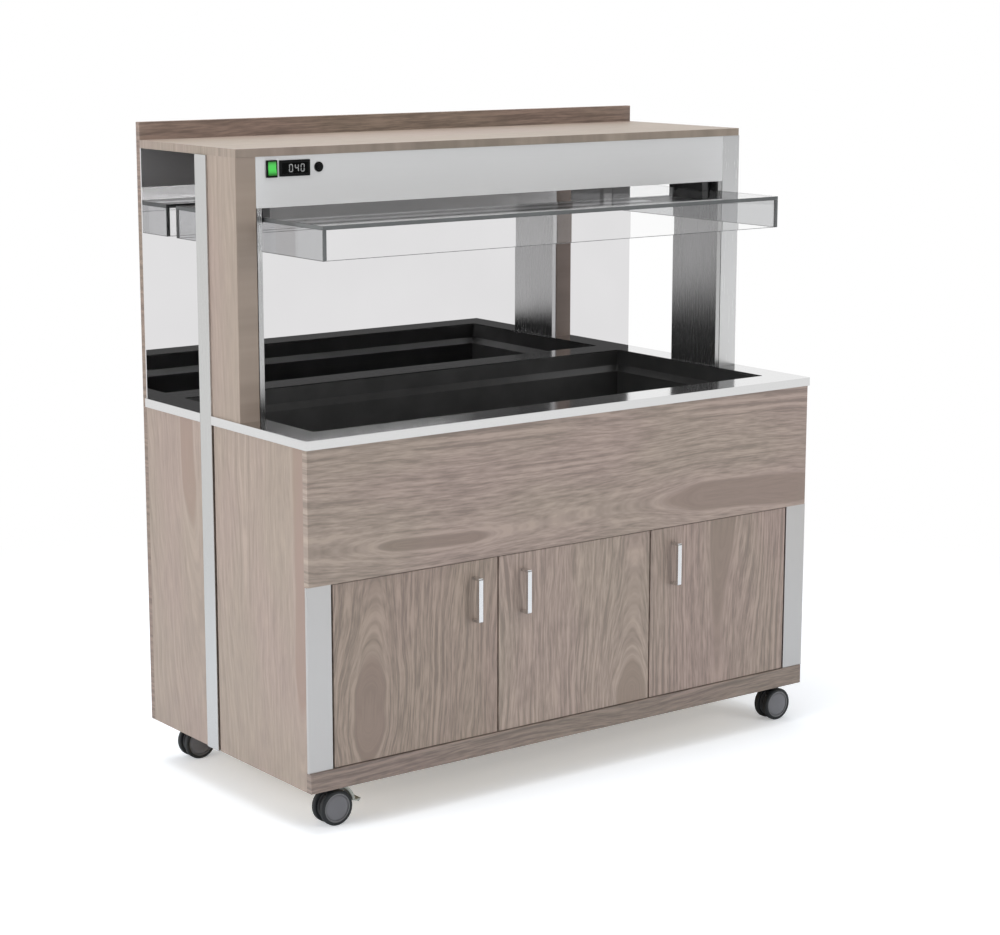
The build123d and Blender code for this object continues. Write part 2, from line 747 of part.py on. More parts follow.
# Posts: a wood cladding beside each upright, and a folded steel lining on the inner side.
# The left post has its wood in front and the right one behind, half a turn apart.
cladding_depth = post_depth - upright_depth
with BuildPart() as post_claddings:
    with BuildSketch(Plane.XY.offset(worktop_z)):
        for sign in (-1, 1):
            y_mid = mid + sign * upright_depth / 2
            y_half = cladding_depth / 2
            span(sign * upright_x, sign * side, y_mid - y_half, y_mid + y_half)
            y_half = y_half - cladding_board
            span(sign * upright_x, sign * (side - cladding_board), y_mid - y_half, y_mid + y_half,
                 mode=Mode.SUBTRACT)
    extrude(amount=shelf_z - worktop_z)
    outer_edges = post_claddings.edges().filter_by(Axis.Z).filter_by(
        lambda edge: abs(edge.center().X) > side - edge_round
    )
    fillet(outer_edges, radius=edge_round)
save(post_claddings.part, "post_claddings")

with BuildPart() as post_linings:
    with BuildSketch(Plane.XY.offset(worktop_z)):
        for sign in (-1, 1):
            span(sign * lining_x, sign * (lining_x + lining_depth), post_front, post_back)
            span(sign * (lining_x + sheet), sign * (lining_x + lining_depth),
                 post_front + sheet, post_back - sheet, mode=Mode.SUBTRACT)
    extrude(amount=canopy_z - worktop_z)
save(post_linings.part, "post_linings")

# Canopy: a folded front with the controls' cut-outs, a folded rear and a flat floor
canopy_end = upright_x - fit_gap
switch_x = switch_centre - half
display_x = display_centre - half
button_x = button_centre - half
controls_z = shelf_z - controls_drop
switch_front = post_front - switch_proud
rocker_swing = radians(rocker_tilt)
rocker_y = switch_front + rocker_pivot
rocker_opening = rocker_tall + 2 * rocker_end_gap
display_front = post_front - display_proud
button_front = post_front - button_proud

with BuildPart() as canopy_front:
    with BuildSketch(Plane.YZ.offset(-canopy_end)):
        span(post_front, post_front + canopy_flange, canopy_z, shelf_z)
        span(post_front + sheet, post_front + canopy_flange, canopy_z + sheet, shelf_z - sheet,
             mode=Mode.SUBTRACT)
    extrude(amount=2 * canopy_end)
    with BuildSketch(Plane.XZ.offset(-post_front)):
        with Locations((switch_x, controls_z)):
            Rectangle(switch_width + 2 * bond_gap, switch_tall + 2 * bond_gap)
        with Locations((display_x, controls_z)):
            Rectangle(display_body_width + 2 * bond_gap, display_body_tall + 2 * bond_gap)
        with Locations((button_x, controls_z)):
            Circle(button_barrel / 2 + bond_gap)
    extrude(amount=-sheet, mode=Mode.SUBTRACT)
save(canopy_front.part, "canopy_front")

with BuildPart() as canopy_rear:
    with BuildSketch(Plane.YZ.offset(-canopy_end)):
        span(post_back - canopy_flange, post_back, canopy_z, shelf_z)
        span(post_back - canopy_flange, post_back - sheet, canopy_z + sheet, shelf_z - sheet,
             mode=Mode.SUBTRACT)
    extrude(amount=2 * canopy_end)
save(canopy_rear.part, "canopy_rear")

# Canopy floor: it lies on the two flanges, with a slot for the light and holes for the studs
# of the glass guard's hangers
guard_x = lining_x - guard_post_gap
hanger_x = guard_x - hanger_inset
hanger_y = post_depth / 2 - hanger_setback
stud_places = [
    (side_sign * hanger_x, mid + way * (hanger_y - stud_inset))
    for side_sign in (-1, 1)
    for way in (-1, 1)
]
ceiling_low = canopy_z + sheet
with BuildPart() as canopy_floor:
    with BuildSketch(Plane.XY.offset(ceiling_low)):
        span(-canopy_end, canopy_end, post_front + sheet + bond_gap, post_back - sheet - bond_gap)
        slot_x = light_length / 2 + fit_gap
        slot_y = light_width / 2 + fit_gap
        span(-slot_x, slot_x, mid - slot_y, mid + slot_y, mode=Mode.SUBTRACT)
        with Locations(*stud_places):
            Circle(hanger_stud / 2 + fit_gap, mode=Mode.SUBTRACT)
    extrude(amount=sheet)
save(canopy_floor.part, "canopy_floor")

with BuildPart() as top_shelf:
    with BuildSketch(Plane.XY.offset(shelf_z)):
        span(-side, side, post_front - shelf_overhang, board_back)
    extrude(amount=board)
    fillet(top_shelf.faces().sort_by(Axis.Y)[0].edges(), radius=edge_round)
save(top_shelf.part, "top_shelf")

# Light: a channel in the slot of the canopy's floor, which its two flanges rest on, and a
# diffuser strip in its mouth
light_top = ceiling_low + light_height
with BuildPart() as light_bar:
    with BuildSketch(Plane.YZ.offset(-light_length / 2)):
        flange_half = light_width / 2 + light_flange
        mouth_half = light_width / 2 - sheet
        strip_half = mouth_half - bond_gap
        span(mid - light_width / 2, mid + light_width / 2, ceiling_low, light_top)
        span(mid - flange_half, mid + flange_half, ceiling_low + sheet, ceiling_low + 2 * sheet)
        span(mid - mouth_half, mid + mouth_half, ceiling_low, light_top - sheet,
             mode=Mode.SUBTRACT)
        span(mid - strip_half, mid + strip_half, ceiling_low, ceiling_low + 2 * sheet)
    extrude(amount=light_length)
save(light_bar.part, "light_bar")

# Glass guard: a top pane with an end pane glued under each end and a long pane under its
# front and its rear edge, between the end panes
guard_z = canopy_z - guard_gap
guard_y = depth / 2 - guard_setback
long_pane_x = guard_x - glass - bond_gap
with BuildPart() as glass_guard:
    with BuildSketch(Plane.XY.offset(guard_z - glass)):
        span(-guard_x, guard_x, mid - guard_y, mid + guard_y)
        with Locations(*stud_places):
            Circle(hanger_stud / 2 + fit_gap, mode=Mode.SUBTRACT)
    extrude(amount=glass)
    with BuildSketch(Plane.XY.offset(guard_z - guard_drop)):
        for way in (-1, 1):
            span(way * guard_x, way * (guard_x - glass), mid - guard_y, mid + guard_y)
            span(-long_pane_x, long_pane_x, mid + way * guard_y, mid + way * (guard_y - glass))
    extrude(amount=guard_drop - glass - bond_gap)
save(glass_guard.part, "glass_guard")

# Guard hangers: a bar across each end of the guard, held up to the canopy's floor by two
# studs that pass through the glass, and a cap under the glass on each stud
with BuildPart() as guard_hangers:
    with BuildSketch(Plane.XY.offset(guard_z)):
        with Locations((-hanger_x, mid), (hanger_x, mid)):
            Rectangle(hanger_width, 2 * hanger_y)
    extrude(amount=ceiling_low - guard_z)
    with BuildSketch(Plane.XY.offset(guard_z - glass - stud_bite)):
        with Locations(*stud_places):
            Circle(hanger_stud / 2)
    extrude(amount=stud_bite + glass + ceiling_low - guard_z + hanger_stud)
    with BuildSketch(Plane.XY.offset(guard_z - glass - cap_thick)):
        with Locations(*stud_places):
            Circle(cap_diameter / 2)
            Circle(hanger_stud / 2 + run_gap, mode=Mode.SUBTRACT)
    extrude(amount=cap_thick)
save(guard_hangers.part, "guard_hangers")

# Housings of the rocker switch and of the round button: a proud frame with bores for the
# rocker's pins, and a ring with a barrel behind the canopy's front
button_room = button_cap / 2 + bond_gap
with BuildPart() as control_housings:
    with BuildSketch(Plane.XZ.offset(-switch_front)):
        with Locations((switch_x, controls_z)):
            RectangleRounded(switch_width, switch_tall, edge_round)
    extrude(amount=-switch_proud - switch_deep)
    with BuildSketch(Plane.XZ.offset(-switch_front)):
        with Locations((switch_x, controls_z)):
            Rectangle(rocker_width + 2 * fit_gap, rocker_opening)
    extrude(amount=-2 * rocker_pivot - rocker_back, mode=Mode.SUBTRACT)
    with BuildSketch(Plane.YZ.offset(switch_x - rocker_width / 2 - rocker_pin / 2 - fit_gap)):
        with Locations((rocker_y, controls_z)):
            Circle(rocker_pin / 2 + run_gap)
    extrude(amount=rocker_width + rocker_pin + 2 * fit_gap, mode=Mode.SUBTRACT)
    with BuildSketch(Plane.XZ.offset(-button_front)):
        with Locations((button_x, controls_z)):
            Circle(button_ring / 2)
    extrude(amount=-button_proud)
    with BuildSketch(Plane.XZ.offset(-post_front)):
        with Locations((button_x, controls_z)):
            Circle(button_barrel / 2)
    extrude(amount=-button_deep)
    with BuildSketch(Plane.XZ.offset(-button_front)):
        with Locations((button_x, controls_z)):
            Circle(button_room)
    extrude(amount=-button_deep, mode=Mode.SUBTRACT)
save(control_housings.part, "control_housings")

# Rocker: two facets, a rounded back and a pin in each side wall of its housing
rocker_plane = Plane(
    origin=(switch_x, rocker_y, controls_z),
    x_dir=(0, cos(rocker_swing), -sin(rocker_swing)),
    z_dir=(1, 0, 0),
)
facet_rise = rocker_tall / 2 * tan(rocker_swing)
rocker_face = rocker_pivot - rocker_valley
with BuildPart() as rocker:
    with BuildSketch(rocker_plane.offset(-rocker_width / 2)):
        with BuildLine():
            Polyline(
                (-rocker_face, 0),
                (-rocker_face - facet_rise, rocker_tall / 2),
                (0, rocker_tall / 2 - sheet),
                (rocker_back, rocker_pivot),
                (rocker_back, -rocker_pivot),
                (0, sheet - rocker_tall / 2),
                (-rocker_face - facet_rise, -rocker_tall / 2),
                close=True,
            )
        make_face()
    extrude(amount=rocker_width)
    with BuildSketch(rocker_plane.offset(-rocker_width / 2 - rocker_pin / 2)):
        Circle(rocker_pin / 2)
    extrude(amount=rocker_width + rocker_pin)
save(rocker.part, "rocker")

# Display: a framed housing with its body behind the canopy's front, and a dark window
with BuildPart() as display:
    with BuildSketch(Plane.XZ.offset(-display_front)):
        with Locations((display_x, controls_z)):
            RectangleRounded(display_width, display_tall, 2 * edge_round)
    extrude(amount=-display_proud)
    with BuildSketch(Plane.XZ.offset(-post_front)):
        with Locations((display_x, controls_z)):
            Rectangle(display_body_width, display_body_tall)
    extrude(amount=-display_deep)
    with BuildSketch(Plane.XZ.offset(-display_front)):
        with Locations((display_x, controls_z)):
            Rectangle(window_width + 2 * bond_gap, window_tall + 2 * bond_gap)
    extrude(amount=-window_thick - bond_gap, mode=Mode.SUBTRACT)
save(display.part, "display")

with BuildPart() as display_window:
    with BuildSketch(Plane.XZ.offset(-display_front - bond_gap)):
        with Locations((display_x, controls_z)):
            Rectangle(window_width, window_tall)
    extrude(amount=-window_thick)
save(display_window.part, "display_window")

# Round push button inside its ring
with BuildPart() as light_button:
    with BuildSketch(Plane.XZ.offset(button_travel - button_front - bond_gap)):
        with Locations((button_x, controls_z)):
            Circle(button_cap / 2)
    extrude(amount=-button_deep + button_travel)
    fillet(light_button.faces().sort_by(Axis.Y)[0].edges(), radius=edge_round)
save(light_button.part, "light_button")

# Castors: plates with kingpins under the base board, held by four screws each
plate_z = base_z - castor_plate_thick
with BuildPart() as castor_plates:
    with BuildSketch(Plane.XY.offset(plate_z)):
        with Locations(*[(x, y) for _, x, y, _ in castor_places]):
            RectangleRounded(castor_plate, castor_plate, castor_plate_round)
        with Locations(*castor_screw_places):
            Circle(castor_screw / 2 + fit_gap, mode=Mode.SUBTRACT)
    extrude(amount=castor_plate_thick)
    with BuildSketch(Plane.XY.offset(plate_z)):
        with Locations(*[(x, y) for _, x, y, _ in castor_places]):
            Circle(kingpin / 2)
    extrude(amount=-kingpin_length)
    with BuildSketch(Plane.XY.offset(plate_z - bond_gap)):
        with Locations(*castor_screw_places):
            Circle(castor_screw_head / 2)
    extrude(amount=-castor_screw_head_thick)
    with BuildSketch(Plane.XY.offset(plate_z - bond_gap)):
        with Locations(*castor_screw_places):
            Circle(castor_screw / 2)
    extrude(amount=castor_plate_thick + castor_screw_bite)
save(castor_plates.part, "castor_plates")

wheel_radius = wheel_diameter / 2
wheel_mid = (wheel_inner_gap + wheel_width) / 2
hub_radius = wheel_radius - tyre_thick
fork_z = plate_z - fit_gap
collar_z = fork_z - fork_collar_height
brake_x = trail + brake_behind
brake_z = wheel_radius + brake_above
slot_half = brake_arm / 2 + 2 * fit_gap
brake_eye = brake_pin / 2 + brake_wall
slot_reach = brake_eye + hub_wall


def wheel_section(stem_x, stem_y, way):
    """Plane through a wheel's axle: local X outwards along the axle, local Y is the radius."""
    return Plane(
        origin=(stem_x + trail, stem_y + way * wheel_mid, wheel_radius),
        x_dir=(0, way, 0),
        z_dir=(way, 0, 0),
    )


for castor_name, x, y, braked in castor_places:
    axle_line = Axis((x + trail, y, wheel_radius), (0, 1, 0))

    # Fork: a collar round the kingpin, with a neck and a web down between the two wheels
    with BuildPart() as fork:
        with BuildSketch(Plane.XZ.offset(-y - fork_web / 2)):
            with Locations((x + trail - fork_knee, fork_z - fork_knee)):
                Circle(fork_knee)
            with Locations((x + trail, wheel_radius)):
                Circle(axle / 2 + 2 * hub_wall)
            with Locations((x + brake_x, brake_z)):
                Circle(slot_reach)
            make_hull()
            span(x, x + trail - fork_knee, collar_z, fork_z)
        extrude(amount=fork_web)
        with BuildSketch(Plane.XY.offset(collar_z)):
            with Locations((x, y)):
                Circle(fork_collar / 2)
        extrude(amount=fork_collar_height)
        with BuildSketch(Plane.XY.offset(plate_z - kingpin_length - fit_gap)):
            with Locations((x, y)):
                Circle(kingpin / 2 + run_gap)
        extrude(amount=kingpin_length, mode=Mode.SUBTRACT)
        with BuildSketch(Plane.XZ.offset(-y - fork_web / 2)):
            with Locations((x + trail, wheel_radius)):
                Circle(axle / 2 + run_gap)
        extrude(amount=fork_web, mode=Mode.SUBTRACT)
        if braked:
            with BuildSketch(Plane.XZ.offset(-y - slot_half)):
                with Locations((x + brake_x + slot_reach / 2, brake_z + slot_reach / 2)):
                    Rectangle(3 * slot_reach, 3 * slot_reach)
            extrude(amount=2 * slot_half, mode=Mode.SUBTRACT)
            with BuildSketch(Plane.XZ.offset(-y - fork_web / 2)):
                with Locations((x + brake_x, brake_z)):
                    Circle(brake_pin / 2 + run_gap)
            extrude(amount=fork_web, mode=Mode.SUBTRACT)
    save(fork.part, f"castor_{castor_name}_fork")

    # Tyres: rings with rounded shoulders
    with BuildPart() as tyres:
        for way in (-1, 1):
            with BuildSketch(wheel_section(x, y, way)) as tyre_profile:
                span(-wheel_width / 2, wheel_width / 2, hub_radius + bond_gap, wheel_radius)
                fillet(tyre_profile.vertices().group_by(Axis.Y)[-1], radius=wheel_shoulder)
            revolve(axis=axle_line)
    save(tyres.part, f"castor_{castor_name}_tyres")

    # Hubs: a dished disc with a rim and a boss on each side, pressed on one axle
    with BuildPart() as hubs:
        for way in (-1, 1):
            with BuildSketch(wheel_section(x, y, way)) as hub_profile:
                face = wheel_width / 2 - hub_wall
                span(face - hub_wall, face, 0, hub_radius)
                span(-wheel_width / 2, wheel_width / 2 - edge_round, hub_radius - hub_wall,
                     hub_radius)
                span(-wheel_width / 2, face, 0, hub_boss / 2)
                span(-wheel_width / 2, face - hub_wall, 0, axle / 2 + run_gap, mode=Mode.SUBTRACT)
            revolve(axis=axle_line)
        with BuildSketch(Plane.XZ.offset(-y - wheel_mid)):
            with Locations((x + trail, wheel_radius)):
                Circle(axle / 2)
        extrude(amount=2 * wheel_mid)
    save(hubs.part, f"castor_{castor_name}_hubs")

    # Brake: an arm on a pin in the fork's slot, with a curved pedal over the tyres and a tip
    if braked:
        wheel_centre = Vector(x + trail, wheel_radius)
        eye_centre = Vector(x + brake_x, brake_z)
        pedal_mid = brake_radius + brake_thick / 2
        pedal_turn = pedal_end - pedal_start
        arm_high = wheel_centre + Vector(pedal_mid, 0).rotate(Axis.Z, pedal_end)
        arm_low = wheel_centre + Vector(pedal_mid, 0).rotate(Axis.Z, pedal_end - pedal_root)
        arm_side = (arm_high - arm_low).normalized() * brake_eye
        with BuildPart() as brake:
            with BuildSketch(Plane.XZ.offset(-y - brake_arm / 2)):
                with Locations(eye_centre):
                    Circle(brake_eye)
                with BuildLine():
                    Polyline(eye_centre + arm_side, eye_centre - arm_side, arm_low, arm_high,
                             close=True)
                make_face()
            extrude(amount=brake_arm)
            with BuildSketch(Plane.XZ.offset(-y - brake_width / 2)):
                with BuildLine():
                    inner = CenterArc(wheel_centre, brake_radius, pedal_start, pedal_turn)
                    outer = CenterArc(wheel_centre, brake_radius + brake_thick, pedal_start,
                                      pedal_turn)
                    Line(inner @ 1, outer @ 1)
                    tip = (inner @ 0) + Vector(pedal_tip, -pedal_tip_drop)
                    Polyline(inner @ 0, tip, tip + Vector(brake_thick, brake_thick), outer @ 0)
                make_face()
            extrude(amount=brake_width)
            with BuildSketch(Plane.XZ.offset(-y - fork_web / 2)):
                with Locations(eye_centre):
                    Circle(brake_pin / 2)
            extrude(amount=fork_web)
        save(brake.part, f"castor_{castor_name}_brake")
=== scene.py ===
# %% [markdown]
# # Dressing a heated salad bar
#
# The solid model gives every board, sheet and casting its real size. This lesson gives them
# their finish: grained laminate, brushed and polished steel, mirror, glass and rubber. It also
# adds the small pieces that are too fine for the solid model. Units are metres, and +Z is up.
# The model is loaded first, and nothing in it is moved afterwards.

# %% Load the solid model
import math
from collections import namedtuple
from math import radians

import bmesh
import bpy
from mathutils import Matrix, Vector


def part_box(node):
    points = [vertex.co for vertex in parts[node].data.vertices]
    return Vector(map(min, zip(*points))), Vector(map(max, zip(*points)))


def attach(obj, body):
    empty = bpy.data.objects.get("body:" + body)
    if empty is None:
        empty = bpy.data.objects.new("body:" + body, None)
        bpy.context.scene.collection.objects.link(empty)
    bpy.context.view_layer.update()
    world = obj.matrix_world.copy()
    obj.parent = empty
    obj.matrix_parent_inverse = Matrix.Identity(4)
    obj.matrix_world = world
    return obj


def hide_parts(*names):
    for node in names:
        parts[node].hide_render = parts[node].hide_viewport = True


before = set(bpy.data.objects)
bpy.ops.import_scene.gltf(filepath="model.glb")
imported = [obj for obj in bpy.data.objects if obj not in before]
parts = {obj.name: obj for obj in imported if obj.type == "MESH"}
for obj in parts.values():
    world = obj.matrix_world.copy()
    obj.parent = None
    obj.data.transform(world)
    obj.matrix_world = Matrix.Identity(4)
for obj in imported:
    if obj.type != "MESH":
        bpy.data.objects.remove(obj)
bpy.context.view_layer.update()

scene = bpy.context.scene

# %% [markdown]
# ## The camera
#
# The salad bar is seen from the front left and from a little above eye height. A camera can be
# aimed at a target with a constraint, or its turn and tilt can be written down. Here they are
# written, because they were fitted to the cabinet's straight edges and no target has just that
# view. The lens is long, which keeps the upright edges nearly parallel.

# %% Camera
photo_width = 1000            # pixels
focal_length = 2405.0         # in the same pixels
camera_place = Vector((-3.3586, -4.5094, 1.7793))
camera_turn = radians(36.981)       # from +Y towards +X
camera_tilt = radians(-11.088)
camera_roll = radians(0.073)

ahead = Vector((math.sin(camera_turn) * math.cos(camera_tilt),
                math.cos(camera_turn) * math.cos(camera_tilt), math.sin(camera_tilt)))
level = Vector((math.cos(camera_turn), -math.sin(camera_turn), 0.0))
upward = level.cross(ahead)
level, upward = (level * math.cos(camera_roll) + upward * math.sin(camera_roll),
                 upward * math.cos(camera_roll) - level * math.sin(camera_roll))

lens = bpy.data.cameras.new("photo_camera")
lens.sensor_fit = "HORIZONTAL"
lens.lens = lens.sensor_width * focal_length / photo_width
camera = bpy.data.objects.new("photo_camera", lens)
camera.matrix_world = Matrix((level, upward, -ahead)).transposed().to_4x4()
camera.location = camera_place
scene.collection.objects.link(camera)
scene.camera = camera
scene.view_settings.view_transform = "Standard"
print("lens:", round(lens.lens, 2), "mm")

# %% [markdown]
# ## Small helpers for shader trees
#
# A material is a tree of nodes. It can be drawn by hand in the shader editor, or written. Writing
# each node and link takes many lines, so a few helpers do it: one adds a node and feeds its
# sockets, and the others add the nodes that are used most. A socket that gets a plain number
# keeps it, and one that gets another socket is linked.

# %% Colours and nodes
def paint(code):
    """Colour as it looks on the screen, such as '9c9084', turned into linear light."""
    shares = [int(code[i:i + 2], 16) / 255 for i in (0, 2, 4)]
    linear = [s / 12.92 if s <= 0.04045 else ((s + 0.055) / 1.055) ** 2.4 for s in shares]
    return (*linear, 1.0)


def shade(code, share):
    """A written colour, made lighter or darker."""
    return tuple(min(1.0, c * share) for c in paint(code)[:3]) + (1.0,)


def feed(tree, socket, value):
    """Links a socket to a socket, or gives it a constant."""
    if isinstance(value, bpy.types.NodeSocket):
        tree.links.new(value, socket)
    else:
        socket.default_value = value


def add_node(tree, kind, inputs=None, **settings):
    """One shader node with its settings and its inputs."""
    made = tree.nodes.new("ShaderNode" + kind)
    for name, value in settings.items():
        setattr(made, name, value)
    for name, value in (inputs or {}).items():
        feed(tree, made.inputs[name], value)
    return made


print("mid grey in linear light:", round(paint("808080")[0], 3))

# %% Sums, ramps and noise
noise_span = (0.3, 0.7)       # nearly all of a noise's values lie between these


def maths(tree, operation, *values):
    """The result of one sum."""
    made = add_node(tree, "Math", operation=operation)
    for socket, value in zip(made.inputs, values):
        feed(tree, socket, value)
    return made.outputs[0]


def remap(tree, value, low, high, to_low=0.0, to_high=1.0):
    """One range moved onto another, with soft ends."""
    made = add_node(tree, "MapRange", {"Value": value, "From Min": low, "From Max": high,
                                       "To Min": to_low, "To Max": to_high},
                    interpolation_type="SMOOTHSTEP")
    return made.outputs["Result"]


def blend_colours(tree, share, first, second, blend_type="MIX"):
    """A share of the second colour laid over the first."""
    made = add_node(tree, "Mix", data_type="RGBA", blend_type=blend_type)
    share_socket, first_socket, second_socket = (made.inputs[i] for i in (0, 6, 7))
    feed(tree, share_socket, share)
    feed(tree, first_socket, first)
    feed(tree, second_socket, second)
    return made.outputs[2]


def cloud(tree, vector, scale, detail=2.0, roughness=0.5, stretch=(1, 1, 1), shift=(0, 0, 0)):
    """Noise from 0 to 1, drawn out along an axis by a stretch below 1."""
    drawn = add_node(tree, "Mapping", {"Vector": vector, "Scale": stretch, "Location": shift})
    made = add_node(tree, "TexNoise", {"Vector": drawn.outputs[0], "Scale": scale,
                                       "Detail": detail, "Roughness": roughness})
    return made.outputs["Fac"]


def steps(tree, value, stops):
    """Colour ramp from (position, colour) pairs."""
    ramp = add_node(tree, "ValToRGB", {"Fac": value})
    while len(ramp.color_ramp.elements) < len(stops):
        ramp.color_ramp.elements.new(1.0)
    for element, (position, colour) in zip(ramp.color_ramp.elements, stops):
        element.position = position
        element.color = colour
    return ramp.outputs["Color"]


# %% A finish and where it goes
micron = 1e-6                 # metres


def new_finish(name, **constants):
    """A material, its tree, its main shader and the place on the object."""
    material = bpy.data.materials.new(name)
    material.use_nodes = True
    tree = material.node_tree
    shader = tree.nodes["Principled BSDF"]
    for socket, value in constants.items():
        feed(tree, shader.inputs[socket.replace("_", " ")], value)
    place = add_node(tree, "TexCoord").outputs["Object"]
    return material, tree, shader, place


def relief(tree, shader, height, depth, strength):
    """Fine bump, for what is too small to model."""
    bump = add_node(tree, "Bump", {"Height": height, "Distance": depth, "Strength": strength})
    feed(tree, shader.inputs["Normal"], bump.outputs["Normal"])


def dress(material, *names):
    """Gives a material to solid pieces by their node names."""
    for name in names:
        parts[name].data.materials.clear()
        parts[name].data.materials.append(material)


def count_materials(word):
    return sum(material.name.startswith(word) for material in bpy.data.materials)


print("pieces to dress:", len(parts))

# %% [markdown]
# ## How the laminate's figure bends
#
# The boards are covered with a printed wood decor. A photograph of such a print would give it at
# once, but this script uses no pictures, so the figure is built from noise. A print is flat,
# so it needs only two directions: along the grain and across it. The figure starts with the place
# across the grain. Three kinds of bend, from slow to quick, draw it off its straight way.
# They are kept in a node group, because every board uses them.

# %% Bends
def new_group(name, inputs, outputs):
    """An empty node group of plain numbers, with its way in and its way out."""
    tree = bpy.data.node_groups.new(name, "ShaderNodeTree")
    for names, way in ((inputs, "INPUT"), (outputs, "OUTPUT")):
        for socket in names:
            tree.interface.new_socket(socket, in_out=way, socket_type="NodeSocketFloat")
    return tree, tree.nodes.new("NodeGroupInput").outputs, tree.nodes.new("NodeGroupOutput").inputs


def flat_place(tree, given, across="Across"):
    """A place on the print. Each board reads its own sample of the same endless print."""
    return add_node(tree, "CombineXYZ", {"X": given[across], "Y": given["Along"],
                                         "Z": given["Sample"]}).outputs[0]


def centred(tree, value, size):
    """Noise from 0 to 1 turned into a shift to both sides."""
    return maths(tree, "MULTIPLY", maths(tree, "SUBTRACT", value, 0.5), size)


def bend_by(tree, flat, scale, detail, drawn_out, size):
    """One kind of bend: its noise is drawn out along the grain, and its size is in metres."""
    return centred(tree, cloud(tree, flat, scale, detail, 0.5, (1, drawn_out, 1)), size)


def build_bends():
    """The place across the grain, after the lines are bent."""
    tree, given, result = new_group("grain bends", ("Across", "Along", "Sample", "Bend"),
                                    ("Bent",))
    flat = flat_place(tree, given)
    sway = bend_by(tree, flat, 3.0, 1.0, 0.37, 0.075)
    ripple = bend_by(tree, flat, 16.0, 2.0, 0.22, 0.034)
    shiver = bend_by(tree, flat, 120.0, 1.0, 0.08, 0.0030)
    quick = maths(tree, "MULTIPLY", maths(tree, "ADD", ripple, shiver), given["Bend"])
    bent = maths(tree, "ADD", maths(tree, "ADD", given["Across"], sway), quick)
    feed(tree, result["Bent"], bent)
    return tree


grain_bends = build_bends()
print("grain bends:", len(grain_bends.nodes), "nodes")

# %% [markdown]
# ## Hearts in the grain
#
# Where the tree was cut near its middle, the lines close in arches round a long dark shape, the
# heart. Rings round a point would give circles. A heart is long, so it is written as a bar
# along the grain whose ends are drawn out, and the lines follow the distance from that bar.
# That needs only a few sums and puts each heart where the real board has it.

# %% Hearts
Heart = namedtuple("Heart", "middle start end taper half lean")
heart_words = [word.capitalize() for word in Heart._fields]
heart_reach = 0.10            # past a heart's end, the lines soon run straight again


def build_heart():
    """How far a place lies outside a heart: a bar along the grain with drawn-out ends."""
    tree, given, result = new_group("grain heart", ("Across", "Along", *heart_words), ("Outside",))
    from_start = maths(tree, "SUBTRACT", given["Along"], given["Start"])
    leaning = maths(tree, "MULTIPLY", from_start, given["Lean"])
    off_middle = maths(tree, "SUBTRACT", given["Across"], given["Middle"])
    aside = maths(tree, "SUBTRACT", off_middle, leaning)
    past_ends = maths(tree, "MAXIMUM", maths(tree, "SUBTRACT", given["Start"], given["Along"]),
                      maths(tree, "SUBTRACT", given["Along"], given["End"]))
    past = maths(tree, "MAXIMUM", past_ends, 0.0)
    held_back = maths(tree, "MULTIPLY_ADD", past, 1 / heart_reach, 1.0)
    beyond = maths(tree, "MULTIPLY", maths(tree, "DIVIDE", past, held_back), given["Taper"])
    distance = maths(tree, "SQRT", maths(tree, "ADD", maths(tree, "MULTIPLY", aside, aside),
                                         maths(tree, "MULTIPLY", beyond, beyond)))
    feed(tree, result["Outside"], maths(tree, "SUBTRACT", distance, given["Half"]))
    return tree


grain_heart = build_heart()
print("grain heart:", len(grain_heart.nodes), "nodes")

# %% [markdown]
# ## Lines, streaks and flecks
#
# The print has three fine layers: lines a few millimetres apart, short streaks and still
# shorter flecks. A wave texture would draw lines that are all alike. Noise along one axis
# gives lines of uneven width, as in wood, and patches of broad noise make them clearer in some
# places. Streaks and flecks are read in the bent place, so they run along the lines. Patches,
# flecks and hue are shifted to other stretches of the print, so that they don't go together.

# %% Lines and flecks
patch_span, faint_lines, clear_lines = (0.38, 0.62), 0.15, 1.2
fleck_share = 1.1             # flecks against streaks


def build_tone():
    """Lines and flecks as one tone, the flecks alone, and a broad change of hue."""
    tree, given, result = new_group("grain tone", (
        "Field", "Across", "Along", "Sample", "Pitch", "Strength"), ("Tone", "Flecks", "Hue"))
    flat = flat_place(tree, given)
    drawn = flat_place(tree, given, "Field")
    line_place = maths(tree, "DIVIDE", given["Field"], given["Pitch"])
    lines = add_node(tree, "TexNoise", {"W": line_place, "Scale": 0.8, "Detail": 2.0,
                                        "Roughness": 0.5}, noise_dimensions="1D").outputs["Fac"]
    patches = cloud(tree, flat, 9.0, 2.0, 0.5, (1, 0.35, 1), (5, 2, 0))
    clearness = remap(tree, patches, *patch_span, faint_lines, clear_lines)
    lined = maths(tree, "MULTIPLY", maths(tree, "SUBTRACT", lines, 0.5), clearness)
    streaks = cloud(tree, drawn, 130.0, 2.0, 0.5, (1, 0.055, 1))
    flecks = cloud(tree, drawn, 300.0, 2.0, 0.6, (1, 0.07, 1), (1, 7, 0))
    figure = maths(tree, "ADD", maths(tree, "ADD", lined, centred(tree, streaks, 1.0)),
                   centred(tree, flecks, fleck_share))
    feed(tree, result["Tone"], maths(tree, "MULTIPLY_ADD", figure, given["Strength"], 0.5))
    feed(tree, result["Flecks"], flecks)
    feed(tree, result["Hue"], cloud(tree, flat, 5.0, 1.0, 0.5, (1, 0.4, 1), (3, 1, 0)))
    return tree


grain_tone = build_tone()
print("grain tone:", len(grain_tone.nodes), "nodes")

